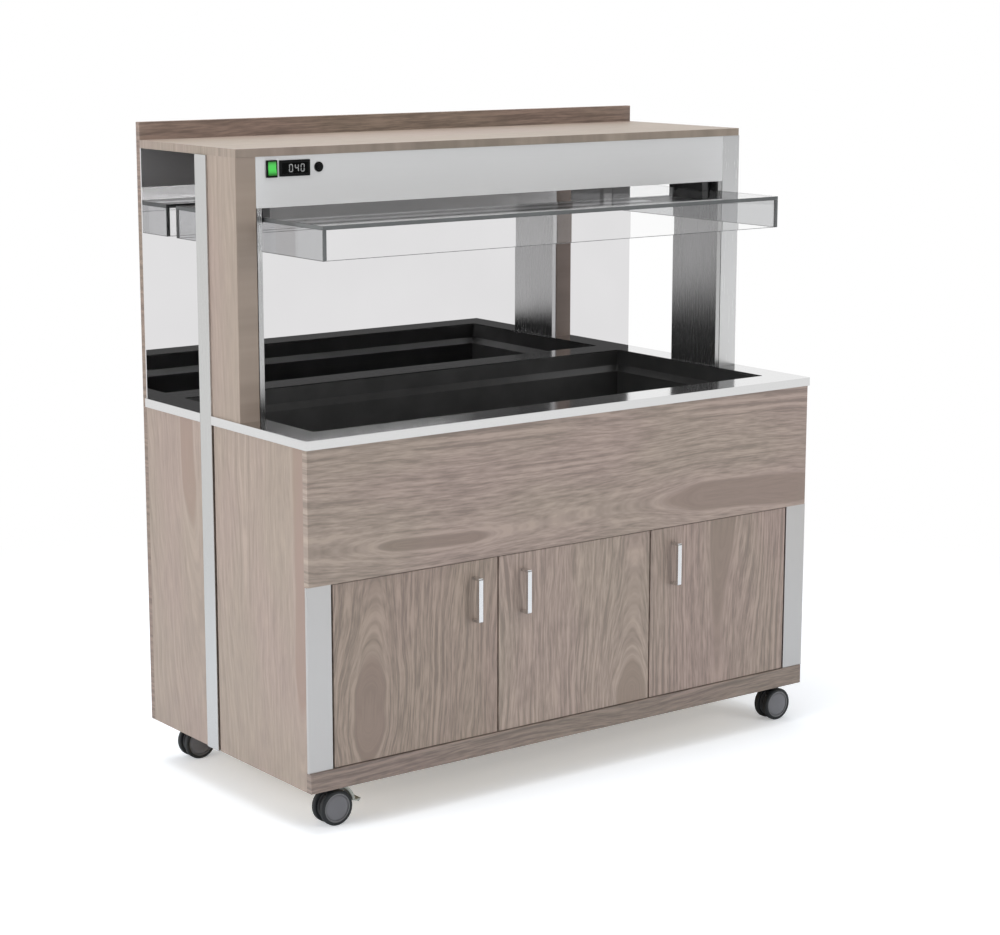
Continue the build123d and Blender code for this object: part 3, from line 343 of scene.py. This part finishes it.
# %% [markdown]
# ## The laminate
#
# One function joins the layers into a material: bends, then the hearts of the board, then the
# tone. A dark heart gets a plain core and a pale rim, as on the real print. The surface of
# such boards is matt with a faint texture, so the flecks also vary the roughness and give a
# shallow bump. A material for each board, instead of one for all, lets every board have its own
# hearts and its own sample of the print.

# %% Laminate
blend_length = 0.030          # over which two hearts share their lines
rim_outer, rim_inner = 0.008, 0.002     # pale rim round a heart
core_edge = -0.006            # from here inwards, a heart is all core
rim_share, core_share, hue_share = 0.30, 0.66, 0.30
yellow_hue, red_hue, hue_span = "8f8a72", "9c8280", (0.36, 0.64)
tone_stops, tone_swing = (0.26, 0.50, 0.74), 1.25
matt_span = (0.38, 0.52)      # roughness
fleck_depth, fleck_relief = 120 * micron, 0.35


def use_group(tree, group, values):
    """A node group placed in a material and fed by the names of its inputs."""
    made = add_node(tree, "Group", node_tree=group)
    for word, value in values.items():
        feed(tree, made.inputs[word], value)
    return made.outputs


def laminate(name, along, across, tone, hearts=(), core="8b7a72", sample=0.0, pitch=0.0085,
             strength=1.0, depth=0.20, bend=1.0):
    """Wood decor: its grain runs along one axis, and its lines close round the hearts."""
    material, tree, shader, place = new_finish(name, Roughness=0.42)
    split = add_node(tree, "SeparateXYZ", {"Vector": place}).outputs
    ways = {"Across": split[across], "Along": split[along], "Sample": sample}
    field = bent = use_group(tree, grain_bends, {**ways, "Bend": bend})["Bent"]
    for number, heart in enumerate(hearts):
        outside = use_group(tree, grain_heart, {"Across": bent, "Along": split[along],
                                                **dict(zip(heart_words, heart))})["Outside"]
        field = maths(tree, "SMOOTH_MIN", field, outside, blend_length) if number else outside
    look = use_group(tree, grain_tone, {"Field": field, "Pitch": pitch, "Strength": strength,
                                        **ways})
    lightness = (1 - tone_swing * depth, 1.0, 1 + tone_swing * depth)
    colour = steps(tree, look["Tone"], [(stop, shade(tone, light))
                                        for stop, light in zip(tone_stops, lightness)])
    if hearts:
        rim = maths(tree, "MULTIPLY", remap(tree, field, rim_outer, rim_inner), rim_share)
        colour = blend_colours(tree, rim, colour, shade(tone, 1 + depth))
        inside = maths(tree, "MULTIPLY", remap(tree, field, rim_inner, core_edge), core_share)
        colour = blend_colours(tree, inside, colour, paint(core))
    hue = blend_colours(tree, remap(tree, look["Hue"], *hue_span), paint(yellow_hue),
                        paint(red_hue))
    feed(tree, shader.inputs["Base Color"], blend_colours(tree, hue_share, colour, hue,
                                                          "SOFT_LIGHT"))
    feed(tree, shader.inputs["Roughness"], remap(tree, look["Flecks"], *noise_span, *matt_span))
    relief(tree, shader, look["Flecks"], fleck_depth, fleck_relief)
    return material


# %% [markdown]
# ## Boards and their grain
#
# Doors, sides and post claddings have upright grain. The apron, rail, shelf and back board
# have level grain. A heart is written as its middle across the grain, its start and end along
# it, how fast the ends close, its half width and how far it leans. Noise alone would put
# the arches anywhere. Written down, they stand where the real boards show them.

# %% Laminate on the doors
dress(laminate("laminate door left", "Z", "X", "9c8d83", [
    Heart(middle=-0.583, start=0.225, end=0.300, taper=0.80, half=0.038, lean=0.06)],
    core="8b7a72", sample=1.7), "door_left")
dress(laminate("laminate door middle", "Z", "X", "a3958b", [
    Heart(middle=0.208, start=-0.60, end=0.180, taper=0.90, half=0.040, lean=-0.02)],
    core="8d7f74", sample=2.9), "door_middle")
dress(laminate("laminate door right", "Z", "X", "9f9087", [
    Heart(middle=0.458, start=0.500, end=1.20, taper=0.46, half=0.036, lean=0.0)],
    core="8c7e74", sample=4.3, bend=0.7), "door_right")
print("laminate materials:", count_materials("laminate"))

# %% Laminate on the front, back and top
dress(laminate("laminate apron", "X", "Z", "a2948b", [
    Heart(middle=0.630, start=-0.490, end=-0.300, taper=0.42, half=0.015, lean=-0.02),
    Heart(middle=0.616, start=0.390, end=0.690, taper=0.62, half=0.036, lean=-0.04)],
    core="8a7c72", sample=6.1, pitch=0.0100, strength=0.9, bend=0.35), "apron")
dress(laminate("laminate rail", "X", "Z", "8b7e76", sample=7.7, pitch=0.0080, bend=0.4),
      "bottom_rail")
dress(laminate("laminate back", "X", "Z", "8b7c72", [
    Heart(middle=1.050, start=0.200, end=0.460, taper=0.60, half=0.016, lean=0.02),
    Heart(middle=0.450, start=-0.400, end=0.250, taper=0.90, half=0.030, lean=0.02)],
    core="76685f", sample=11.3, pitch=0.008, bend=0.4), "back_board")
dress(laminate("laminate shelf", "X", "Y", "9b8f85", sample=12.9, pitch=0.010, strength=0.7,
               depth=0.14, bend=0.4), "top_shelf")
print("laminate materials:", count_materials("laminate"))

# %% Laminate on the sides and posts
dress(laminate("laminate sides", "Z", "Y", "a3958b", [
    Heart(middle=0.145, start=0.710, end=0.860, taper=0.60, half=0.032, lean=0.08),
    Heart(middle=-0.305, start=0.360, end=1.10, taper=0.50, half=0.026, lean=0.0)],
    core="978378", sample=8.2, pitch=0.011, strength=0.7, depth=0.14), "side_panels_left")
dress(laminate("laminate right sides", "Z", "Y", "a3958b", [
    Heart(middle=0.060, start=0.200, end=0.420, taper=0.40, half=0.030, lean=0.02)],
    core="978378", sample=9.4, pitch=0.011, strength=0.7, depth=0.14), "side_panels_right")
dress(laminate("laminate posts", "Z", "Y", "a3958b", sample=14.2, pitch=0.010, strength=0.5,
               depth=0.13), "post_claddings")
print("laminate materials:", count_materials("laminate"))

# %% Boards inside
dress(laminate("pale laminate", "X", "Y", "c6beb6", sample=16.0, strength=0.4, depth=0.10),
      "cupboard_floor", "cupboard_ceiling", "worktop_core")
dress(laminate("pale upright laminate", "Z", "Y", "c6beb6", sample=17.0, strength=0.4,
               depth=0.10), "partitions")
dress(laminate("plywood", "X", "Y", "c2a97f", sample=18.0), "base_board")
print("pale laminate materials:", count_materials("pale"))

# %% [markdown]
# ## Brushed and polished steel
#
# Sheet steel is brushed in one direction: tiny scratches run along the sheet and blur its
# reflections across them. The shader's own anisotropy could stretch the reflections, but it needs
# tangents and shows no single scratches. So noise drawn out along the sheet varies the
# roughness and gives a faint bump. The worktop is polished: it is half as rough, so its
# reflections are sharper.

# %% Steel
brush_stretch, smear_stretch = 0.012, 0.24
smear_scale = 9.0
scratch_share, scratch_relief = 0.6, 0.12
darkest, palest = 0.96, 1.03  # shares of the written colour


def drawn_along(along, share):
    """A stretch of 1 on every axis but the one that the noise is drawn out along."""
    return tuple(share if axis == along else 1.0 for axis in "XYZ")


def steel(name, along, colour, rough, spread, scratches, depth, metallic=1.0):
    """Bare metal whose brushing runs along one axis."""
    material, tree, shader, place = new_finish(name, Metallic=metallic)
    lines = cloud(tree, place, scratches, 2.0, 0.6, drawn_along(along, brush_stretch))
    smears = cloud(tree, place, smear_scale, 2.0, 0.5, drawn_along(along, smear_stretch))
    tone = maths(tree, "MULTIPLY_ADD", lines, scratch_share,
                 maths(tree, "MULTIPLY", smears, 1 - scratch_share))
    feed(tree, shader.inputs["Base Color"], blend_colours(tree, tone, shade(colour, darkest),
                                                          shade(colour, palest)))
    feed(tree, shader.inputs["Roughness"], remap(tree, tone, *noise_span, rough - spread,
                                                 rough + spread))
    relief(tree, shader, lines, depth, scratch_relief)
    return material


# %% Steel on the frame
dress(steel("steel brushed upright", "Z", "c9c9c8", 0.26, 0.02, 900.0, 3 * micron),
      "upright_left")
# Painted light: the far upright gets a paler, less metallic copy of the same steel.
dress(steel("steel brushed far upright painted lighter", "Z", "e1e1e1", 0.26, 0.015, 900.0, 2 * micron, 0.6),
      "upright_right")
dress(steel("steel brushed strips", "Z", "c2c0be", 0.30, 0.02, 900.0, 3 * micron),
      "corner_strips")
dress(steel("steel brushed level", "X", "e4e4e4", 0.26, 0.01, 900.0, 1 * micron, 0.30),
      "canopy_front", "canopy_rear")
dress(steel("steel polished worktop", "X", "dadada", 0.13, 0.02, 700.0, 5 * micron),
      "worktop_skin")
dress(steel("steel brushed linings", "Z", "cacaca", 0.26, 0.03, 700.0, 5 * micron),
      "post_linings")
print("steel materials:", count_materials("steel"))

# %% Metal fittings
dress(steel("steel satin handles", "Z", "e2e2e2", 0.22, 0.04, 1200.0, 20 * micron),
      "handle_left", "handle_middle", "handle_right")
dress(steel("steel zinc plated", "X", "b9bcc2", 0.38, 0.08, 60.0, 30 * micron),
      "well_casing", "pivot_pins", "castor_plates")
dress(steel("aluminium anodised", "X", "c9cacc", 0.34, 0.05, 800.0, 20 * micron), "light_bar")
dress(steel("brass nickel plated", "Z", "c9b98a", 0.24, 0.06, 90.0, 30 * micron),
      "drain_valve")
print("steel materials:", count_materials("steel"))

# %% [markdown]
# ## The mirror
#
# The back of the gantry is a silvered mirror. A glossy shader alone would do; the main
# shader with full metal and no roughness gives the same. Its colour is a little below white,
# because real mirror glass takes some of the light.

# %% Mirror
silver, tree, shader, place = new_finish("mirror silvered", Metallic=1.0, Roughness=0.0)
mist = cloud(tree, place, 5.0, 2.0)
feed(tree, shader.inputs["Base Color"], steps(tree, mist, [(0.3, paint("dfdedf")),
                                                           (0.7, paint("e2e1e2"))]))
dress(silver, "mirror")
mirror_low, mirror_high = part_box("mirror")
print("mirror height:", round(mirror_high.z - mirror_low.z, 3), "m")

# %% [markdown]
# ## Enamel, paint, plastic and rubber
#
# The well has a dark enamel, so its sloping ledge picks up a grey shine. The sheet under
# the canopy is painted dark. Switches, forks, hubs and tyres are plastic and rubber. Each could
# have a tree of its own, but they all share one build: a fine skin that varies the roughness
# and the bump, and a faint change of tone. So one function makes them all.

# %% One function for coats and plastics
tone_scale, rough_spread, skin_relief = 14.0, 0.05, 0.5


def coated(name, colour, paler, rough, skin_scale, depth, specular=0.5):
    """Paint, plastic or rubber: a fine skin texture and a faint change of tone."""
    material, tree, shader, place = new_finish(name, Specular_IOR_Level=specular)
    skin = cloud(tree, place, skin_scale, 3.0, 0.6)
    tone = cloud(tree, place, tone_scale, 2.0)
    feed(tree, shader.inputs["Base Color"], blend_colours(tree, remap(tree, tone, *noise_span),
                                                          paint(colour), paint(paler)))
    feed(tree, shader.inputs["Roughness"], remap(tree, skin, *noise_span, rough - rough_spread,
                                                 rough + rough_spread))
    relief(tree, shader, skin, depth, skin_relief)
    return material


def nodes_ending(ending):
    """Solid pieces whose names end alike, such as all four tyres."""
    return [name for name in parts if name.endswith(ending)]


# %% Well, canopy and controls
dress(coated("well dark enamel", "404040", "484848", 0.38, 260.0, 20 * micron), "well_rim",
      "well_tank")
dress(coated("canopy dark paint", "2b2b2b", "333333", 0.36, 500.0, 30 * micron), "canopy_floor")
dress(coated("hanger grey paint", "4c4c4c", "545454", 0.36, 500.0, 30 * micron),
      "guard_hangers")
dress(coated("plastic black", "070708", "0c0c0d", 0.34, 1400.0, 30 * micron, 0.2),
      "control_housings", "display", "light_button", "magnet_catches", "cable_gland")
dress(coated("display window smoked", "020303", "040505", 0.10, 300.0, 10 * micron, 0.15),
      "display_window")
dress(coated("silicone red", "7a2f22", "8a3a2a", 0.62, 300.0, 200 * micron), "heating_mats")
dress(coated("mineral wool", "a3986a", "b9ad80", 0.95, 240.0, 1200 * micron), "insulation")
dress(coated("lever red paint", "8e1712", "9c1d16", 0.28, 220.0, 50 * micron), "drain_lever")
print("materials so far:", len(bpy.data.materials))

# %% Castors
dress(coated("tyre black rubber", "232527", "2d3032", 0.62, 420.0, 150 * micron),
      *nodes_ending("_tyres"))
dress(coated("hub grey plastic", "757577", "7f7f81", 0.42, 700.0, 50 * micron),
      *nodes_ending("_hubs"))
dress(coated("fork black plastic", "161718", "1c1d1e", 0.40, 700.0, 60 * micron),
      *nodes_ending("_fork"))
dress(coated("brake grey plastic", "a5a9a2", "adb1aa", 0.42, 700.0, 50 * micron),
      *nodes_ending("_brake"))
print("castors:", len(nodes_ending("_fork")), "with", len(nodes_ending("_brake")), "brakes")

# %% [markdown]
# ## The lit rocker
#
# The power switch is a green rocker with a lamp in it. The lamp sits near the middle, so the
# plastic glows there and is darker towards its top and bottom. A real lamp behind clear plastic
# would be slow to render and hardly seen, so the height on the rocker sets the green and
# its glow.

# %% Rocker
glow_start, glow_end = 0.002, 0.0155      # from the lamp's height
lamp_lift = 0.001                         # the lamp sits a little above the middle
rocker_low, rocker_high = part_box("rocker")
lamp_height = (rocker_low.z + rocker_high.z) / 2 + lamp_lift
green, tree, shader, place = new_finish("rocker green", Roughness=0.22, Emission_Strength=0.25)
height = add_node(tree, "SeparateXYZ", {"Vector": place}).outputs["Z"]
off_lamp = maths(tree, "ABSOLUTE", maths(tree, "SUBTRACT", height, lamp_height))
glow = steps(tree, remap(tree, off_lamp, glow_start, glow_end), [
    (0.0, paint("4cc452")), (0.55, paint("45b04b")), (1.0, paint("2c6f2b"))])
feed(tree, shader.inputs["Base Color"], glow)
feed(tree, shader.inputs["Emission Color"], glow)
dress(green, "rocker")
print("lamp height:", round(lamp_height, 4), "m")

# %% [markdown]
# ## Glass guard
#
# The guard is a tray of toughened glass that hangs upside down, with polished edges. A pane
# is clear through its faces, but its edges gather light from the whole pane and look dark. One
# glass material on the solid would miss that, so each pane is made again as a box with
# bevelled edges: clear glass on the faces, painted shade on the edges, a dark grey that stands
# in for that look, and glass greyed as painted shade on the two end panes, which look darker
# when seen slantwise. Their lower edges are clear.

# %% Helpers for new pieces
def add_box(work, low, high, round_by, turn=None):
    """A box between two corners with rounded edges. A turn is made about its middle."""
    low, high = Vector(low), Vector(high)
    place = Matrix.Translation((low + high) / 2)
    sized = Matrix.Diagonal((*(high - low), 1.0))
    made = bmesh.ops.create_cube(work, size=1.0, matrix=place @ (turn or Matrix()) @ sized)
    edges = list({edge for vert in made["verts"] for edge in vert.link_edges})
    bmesh.ops.bevel(work, geom=edges, offset=round_by, segments=2, profile=0.5,
                    affect="EDGES", material=-1)


def finish_piece(work, name, body, slot, *materials, smooth=False):
    """Makes the shape an object that rides a body, with the given finishes. Its slot is not used.
    """
    bmesh.ops.recalc_face_normals(work, faces=work.faces[:])
    mesh = bpy.data.meshes.new(name)
    work.to_mesh(mesh)
    work.free()
    for material in materials:
        mesh.materials.append(material)
    for face in mesh.polygons:
        face.use_smooth = smooth
    piece = bpy.data.objects.new(name, mesh)
    scene.collection.objects.link(piece)
    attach(piece, body)
    print(name + ":", len(mesh.polygons), "faces")
    return piece


# %% Glass and its edges
def glass(name, colour, paler):
    """Clear glass, or glass greyed as painted shade, with a faint cloud in its colour."""
    material, tree, shader, place = new_finish(name, Roughness=0.0, IOR=1.5,
                                               Transmission_Weight=1.0)
    faint = cloud(tree, place, 3.0, 1.0)
    feed(tree, shader.inputs["Base Color"], steps(tree, faint, [(0.2, paint(colour)),
                                                                (0.8, paint(paler))]))
    return material


clear_glass = glass("glass clear", "fafafa", "fcfcfc")
# The end panes' grey is painted shade, for their darker look when seen slantwise.
end_glass_painted_shade = glass("glass ends painted shade", "c8c9ca", "cbcccd")
# The edges' dark grey is painted shade, for the dark look of a glass edge.
painted_edge_shade = coated("glass edge painted shade", "5c5e5e", "646666", 0.12, 600.0, 10 * micron)

# %% Five panes
pane = 0.008
glue = 0.0001                 # clear glue between two panes
edge_bevel = 0.0007
glass_low, glass_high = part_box("glass_guard")
under_top = glass_high.z - pane - glue
between_ends = glass_high.x - pane - glue
panes = [((glass_low.x, glass_low.y, glass_high.z - pane), glass_high)]
for x in (glass_low.x, glass_high.x - pane):
    panes.append(((x, glass_low.y, glass_low.z), (x + pane, glass_high.y, under_top)))
for y in (glass_low.y, glass_high.y - pane):
    panes.append(((-between_ends, y, glass_low.z), (between_ends, y + pane, under_top)))

work = bmesh.new()
for low, high in panes:
    add_box(work, low, high, edge_bevel)
clear_slot, painted_edge_slot, end_shade_slot = range(3)
broad = 0.02                  # square metres: only the panes' faces are larger
for face in work.faces:
    faces_end, faces_down = abs(face.normal.x) > 0.5, face.normal.z < -0.5
    if faces_down:
        face.material_index = clear_slot
    elif face.calc_area() < broad:
        face.material_index = painted_edge_slot
    else:
        face.material_index = end_shade_slot if faces_end else clear_slot
guard = finish_piece(work, "guard_panes", "cabinet", "glass", clear_glass, painted_edge_shade,
                     end_glass_painted_shade)
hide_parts("glass_guard")

# %% [markdown]
# ## Display digits
#
# The display shows three digits of seven segments. A text object could write them, but no plain
# font has such segments, and a font is one more thing that can be missing. So each segment
# is a thin bar whose ends are cut to a point, and neighbours meet with a fine gap.

# %% One digit
digit_wide, digit_tall = 0.0100, 0.0175
bar, bar_gap, bar_proud = 0.0022, 0.0003, 0.00015
point_cut = 0.42 * bar
half_wide, half_tall = (digit_wide - bar) / 2, (digit_tall - bar) / 2
segment_places = {"a": (0, 1, "level"), "b": (1, 0.5, "upright"), "c": (1, -0.5, "upright"),
                  "d": (0, -1, "level"), "e": (-1, -0.5, "upright"), "f": (-1, 0.5, "upright"),
                  "g": (0, 0, "level")}
number_bars = {"0": "abcdef", "4": "bcfg"}


def add_segment(work, digit_place, letter):
    """One bar of a digit. The four edges that run front to back are cut to make its points."""
    right, up, way = segment_places[letter]
    middle = digit_place + Vector((right * half_wide, 0, up * half_tall))
    reach = (half_wide if way == "level" else half_tall / 2) - bar_gap
    half_x, half_z = (reach, bar / 2) if way == "level" else (bar / 2, reach)
    sized = Matrix.Diagonal((2 * half_x, 2 * bar_proud, 2 * half_z, 1.0))
    made = bmesh.ops.create_cube(work, size=1.0, matrix=Matrix.Translation(middle) @ sized)
    corners = [edge for edge in {edge for vert in made["verts"] for edge in vert.link_edges}
               if abs(edge.verts[0].co.y - edge.verts[1].co.y) > bar_proud]
    bmesh.ops.bevel(work, geom=corners, offset=point_cut, segments=1, profile=0.5,
                    affect="EDGES", material=-1)


# %% Three digits
digit_pitch = 0.0148
middle_digit_x = -0.5685
window_low, window_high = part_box("display_window")
digits_z = (window_low.z + window_high.z) / 2
digit_grey = coated("digit grey", "9a9a9a", "a2a2a2", 0.50, 900.0, 10 * micron)

work = bmesh.new()
for number, digit in enumerate("040"):
    digit_x = middle_digit_x + (number - 1) * digit_pitch
    for letter in number_bars[digit]:
        add_segment(work, Vector((digit_x, window_low.y, digits_z)), letter)
finish_piece(work, "display_digits", "cabinet", "display_window", digit_grey)

# %% [markdown]
# ## Hub covers
#
# Each wheel's hub is closed by a shallow domed cover with a rolled rim. A squashed sphere
# would lack the rim. A lathe shape follows the real profile: a few points from the middle to the
# rim, spun about the axle.

# %% Hub covers
hub_grey = coated("cap grey plastic", "747478", "7c7c80", 0.38, 900.0, 40 * micron)
cover_profile = [(0.0, 0.0027), (0.0120, 0.0026), (0.0220, 0.0022), (0.0272, 0.0015),
                 (0.0290, 0.0006), (0.0290, -0.0001)]
cover_set_in = 0.0030         # hub's face in from the tyre's side


def add_turned(work, profile, place, sides=48):
    """A lathe-turned shape: (radius, height) points are turned about local Z."""
    others = set(work.verts)
    verts = [work.verts.new((radius, 0.0, height)) for radius, height in profile]
    edges = [work.edges.new(pair) for pair in zip(verts, verts[1:])]
    bmesh.ops.spin(work, geom=verts + edges, cent=(0, 0, 0), axis=(0, 0, 1),
                   angle=2 * math.pi, steps=sides, use_merge=True)
    turned = [vert for vert in work.verts if vert not in others]
    bmesh.ops.remove_doubles(work, verts=turned, dist=micron)
    turned = [vert for vert in work.verts if vert not in others]
    bmesh.ops.transform(work, matrix=place, verts=turned)


def cover_hubs(castor, tyre_low, tyre_high, axle):
    """A cover on the outer side of each of a castor's two wheels."""
    work = bmesh.new()
    for way, face in ((-1, tyre_low.y), (1, tyre_high.y)):
        facing = Matrix.Rotation(-way * math.pi / 2, 4, "X")
        place = Matrix.Translation((axle.x, face - way * cover_set_in, axle.z)) @ facing
        add_turned(work, cover_profile, place)
    finish_piece(work, f"wheel_caps_{castor}", f"castor_{castor}_wheels", "hub_grey", hub_grey,
                 smooth=True)


# %% [markdown]
# ## Brake pedals
#
# A shoe needs grip on the brake, so the pedal has five moulded ridges and a dark rubber toe. A
# bump could fake the ridges, but they show in the pedal's outline. They are small rounded bars,
# placed by their angle about the axle, and all ride with the brake.

# %% Brake pedals
toe_rubber = coated("toe rubber", "303233", "3a3c3d", 0.60, 500.0, 100 * micron)
pedal_grey = coated("pedal grey plastic", "a5a9a2", "adb1aa", 0.42, 700.0, 50 * micron)
pedal_outside = 0.052         # pedal's outer face about the axle
ridge_angles = (22, 30, 38, 46, 54)
ridge_half, ridge_round = Vector((0.0006, 0.0110, 0.0009)), 0.0004
toe_middle = Vector((0.0629, 0, 0.0051))  # pedal's sloping tip, from the axle
toe_half, toe_round, toe_slope = Vector((0.0008, 0.0138, 0.0046)), 0.0006, radians(45)


def grip_pedal(castor, axle):
    """Ridges and a rubber toe on a castor's brake pedal."""
    body = f"castor_{castor}_brake"
    work = bmesh.new()
    for lean in map(radians, ridge_angles):
        middle = axle + pedal_outside * Vector((math.cos(lean), 0, math.sin(lean)))
        add_box(work, middle - ridge_half, middle + ridge_half, ridge_round,
                Matrix.Rotation(-lean, 4, "Y"))
    finish_piece(work, f"pedal_ridges_{castor}", body, "brake_grey", pedal_grey)
    work = bmesh.new()
    middle = axle + toe_middle
    add_box(work, middle - toe_half, middle + toe_half, toe_round,
            Matrix.Rotation(toe_slope, 4, "Y"))
    finish_piece(work, f"pedal_toe_{castor}", body, "tyre", toe_rubber)


# %% Covers and grips on the four castors
for castor in ("front_left", "front_right", "rear_left", "rear_right"):
    tyre_low, tyre_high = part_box(f"castor_{castor}_tyres")
    axle = (tyre_low + tyre_high) / 2
    cover_hubs(castor, tyre_low, tyre_high, axle)
    if castor.endswith("left"):
        grip_pedal(castor, axle)

# %% [markdown]
# ## Drain strainer
#
# A cross in the drain holds back food. It could be cut from a disc, but two crossed bars
# with rounded edges are what the casting has.

# %% Drain strainer
drain_x, drain_y = 0.580, -0.1575
strainer_depth = 0.0012       # below the drain's top
strainer_half, strainer_round = Vector((0.0078, 0.0008, 0.0006)), 0.0003
drain_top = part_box("drain_valve")[1].z
middle = Vector((drain_x, drain_y, drain_top - strainer_depth))
work = bmesh.new()
for turn in (0, 90):
    add_box(work, middle - strainer_half, middle + strainer_half, strainer_round,
            Matrix.Rotation(radians(turn), 4, "Z"))
finish_piece(work, "drain_strainer", "cabinet", "brass", pedal_grey)

# %% [markdown]
# ## Floor
#
# The salad bar stands on a plain pale floor. A shadow catcher would need a picture put
# together afterwards, so the floor is a real disc. Its colour goes over into plain white away
# from the object and keeps the object's soft shadow. For the camera, and through glass, the
# floor is lifted a little. Steel and mirror see it without the lift.

# %% Floor
floor_radius = 16.0
floor_mesh = bpy.data.meshes.new("floor")
sheet = bmesh.new()
bmesh.ops.create_circle(sheet, cap_ends=True, segments=128, radius=floor_radius)
sheet.to_mesh(floor_mesh)
sheet.free()
floor = bpy.data.objects.new("floor", floor_mesh)
scene.collection.objects.link(floor)
print("floor:", round(2 * floor_radius), "m across")

# %% Shader helpers for the floor
def add_glow(tree, colour, strength):
    return add_node(tree, "Emission", {"Color": colour, "Strength": strength}).outputs[0]


def blend_shaders(tree, share, first, second):
    return add_node(tree, "MixShader", {0: share, 1: first, 2: second}).outputs[0]


# %% Floor finish
seen_fade, mirrored_fade = (1.3, 2.6), (1.6, 4.0)   # where the floor turns white
lift_strength = 0.30
pale, tree, shader, place = new_finish("floor pale", Roughness=0.9, Specular_IOR_Level=0.0,
                                       Base_Color=paint("f3f7fc"))
bare = shader.outputs[0]
white = add_glow(tree, (1, 1, 1, 1), 1.0)
lifted = add_node(tree, "AddShader", {
    0: bare, 1: add_glow(tree, (0.98, 0.99, 1, 1), lift_strength)}).outputs[0]
spread = add_node(tree, "VectorMath", {0: place}, operation="LENGTH").outputs["Value"]
seen = blend_shaders(tree, remap(tree, spread, *seen_fade), lifted, white)
reflected = blend_shaders(tree, remap(tree, spread, *mirrored_fade), bare, white)
rays = add_node(tree, "LightPath").outputs
straight = maths(tree, "MAXIMUM", rays["Is Camera Ray"], rays["Is Transmission Ray"])
whole = blend_shaders(tree, straight,
                      blend_shaders(tree, rays["Is Glossy Ray"], bare, reflected), seen)
feed(tree, tree.nodes["Material Output"].inputs["Surface"], whole)
floor_mesh.materials.append(pale)
print("floor nodes:", len(tree.nodes))

# %% [markdown]
# ## Room
#
# The room is bright and even. Steel shows the room more than its own colour, so what it
# reflects matters: white above, behind and to the sides, and a grey wall behind the camera that is
# darker above eye height. That wall is why polished steel that faces the camera looks dark.
# A picture of a room could do the same, but a gradient of a few colours is enough here.

# %% Room
wall_start, wall_end = 0.15, -0.15        # heading where white goes over into the wall
ceiling_start, ceiling_end = 0.35, 0.75   # rise where the wall goes over into the ceiling
eye_low, eye_high = -0.078, 0.052         # rise where the wall darkens
soft_strength, sharp_strength = 0.62, 1.0
full_white = (1, 1, 1, 1)

room = bpy.data.worlds.new("room")
room.use_nodes = True
scene.world = room
tree = room.node_tree
heading = add_node(tree, "SeparateXYZ", {
    "Vector": add_node(tree, "TexCoord").outputs["Generated"]}).outputs
rays = add_node(tree, "LightPath").outputs
sharp = maths(tree, "MAXIMUM", rays["Is Glossy Ray"], rays["Is Transmission Ray"])
seen_wall = blend_colours(tree, remap(tree, heading["Z"], eye_low, eye_high), paint("898989"),
                          paint("585858"))
wall = blend_colours(tree, sharp, paint("8a8a8a"), seen_wall)
walls = blend_colours(tree, remap(tree, heading["Y"], wall_start, wall_end), full_white, wall)
overhead = remap(tree, heading["Z"], ceiling_start, ceiling_end)
whole_room = blend_colours(tree, overhead, walls, full_white)
backdrop = tree.nodes["Background"]
feed(tree, backdrop.inputs["Color"], blend_colours(tree, rays["Is Camera Ray"], whole_room,
                                                   full_white))
looked_at = maths(tree, "MAXIMUM", sharp, rays["Is Camera Ray"])
feed(tree, backdrop.inputs["Strength"], remap(tree, looked_at, 0.0, 1.0, soft_strength,
                                              sharp_strength))
print("room nodes:", len(tree.nodes))

# %% [markdown]
# ## Lamps
#
# Three large soft lamps shape the light: one above, one at the left and one in front. Small
# lamps would throw hard shadows. The lamps don't show in reflections, or they would stand as
# white squares in the polished steel.

# %% Lamps
lamp_target = Vector((0, 0, 0.8))


def soft_lamp(name, place, size, watts):
    """A soft rectangular lamp, aimed at the middle of the salad bar."""
    lamp = bpy.data.lights.new(name, "AREA")
    lamp.shape = "RECTANGLE"
    lamp.size, lamp.size_y = size
    lamp.energy = watts
    holder = bpy.data.objects.new(name, lamp)
    holder.location = place
    holder.rotation_euler = (lamp_target - Vector(place)).to_track_quat("-Z", "Y").to_euler()
    holder.visible_glossy = False
    scene.collection.objects.link(holder)


soft_lamp("lamp above", (-0.4, 0.2, 4.2), (3.6, 3.2), 95)
soft_lamp("lamp left", (-4.6, -0.4, 2.2), (2.6, 2.6), 92)
soft_lamp("lamp front", (2.2, -5.0, 2.2), (3.0, 2.4), 92)
print("lamps:", len(bpy.data.lights))
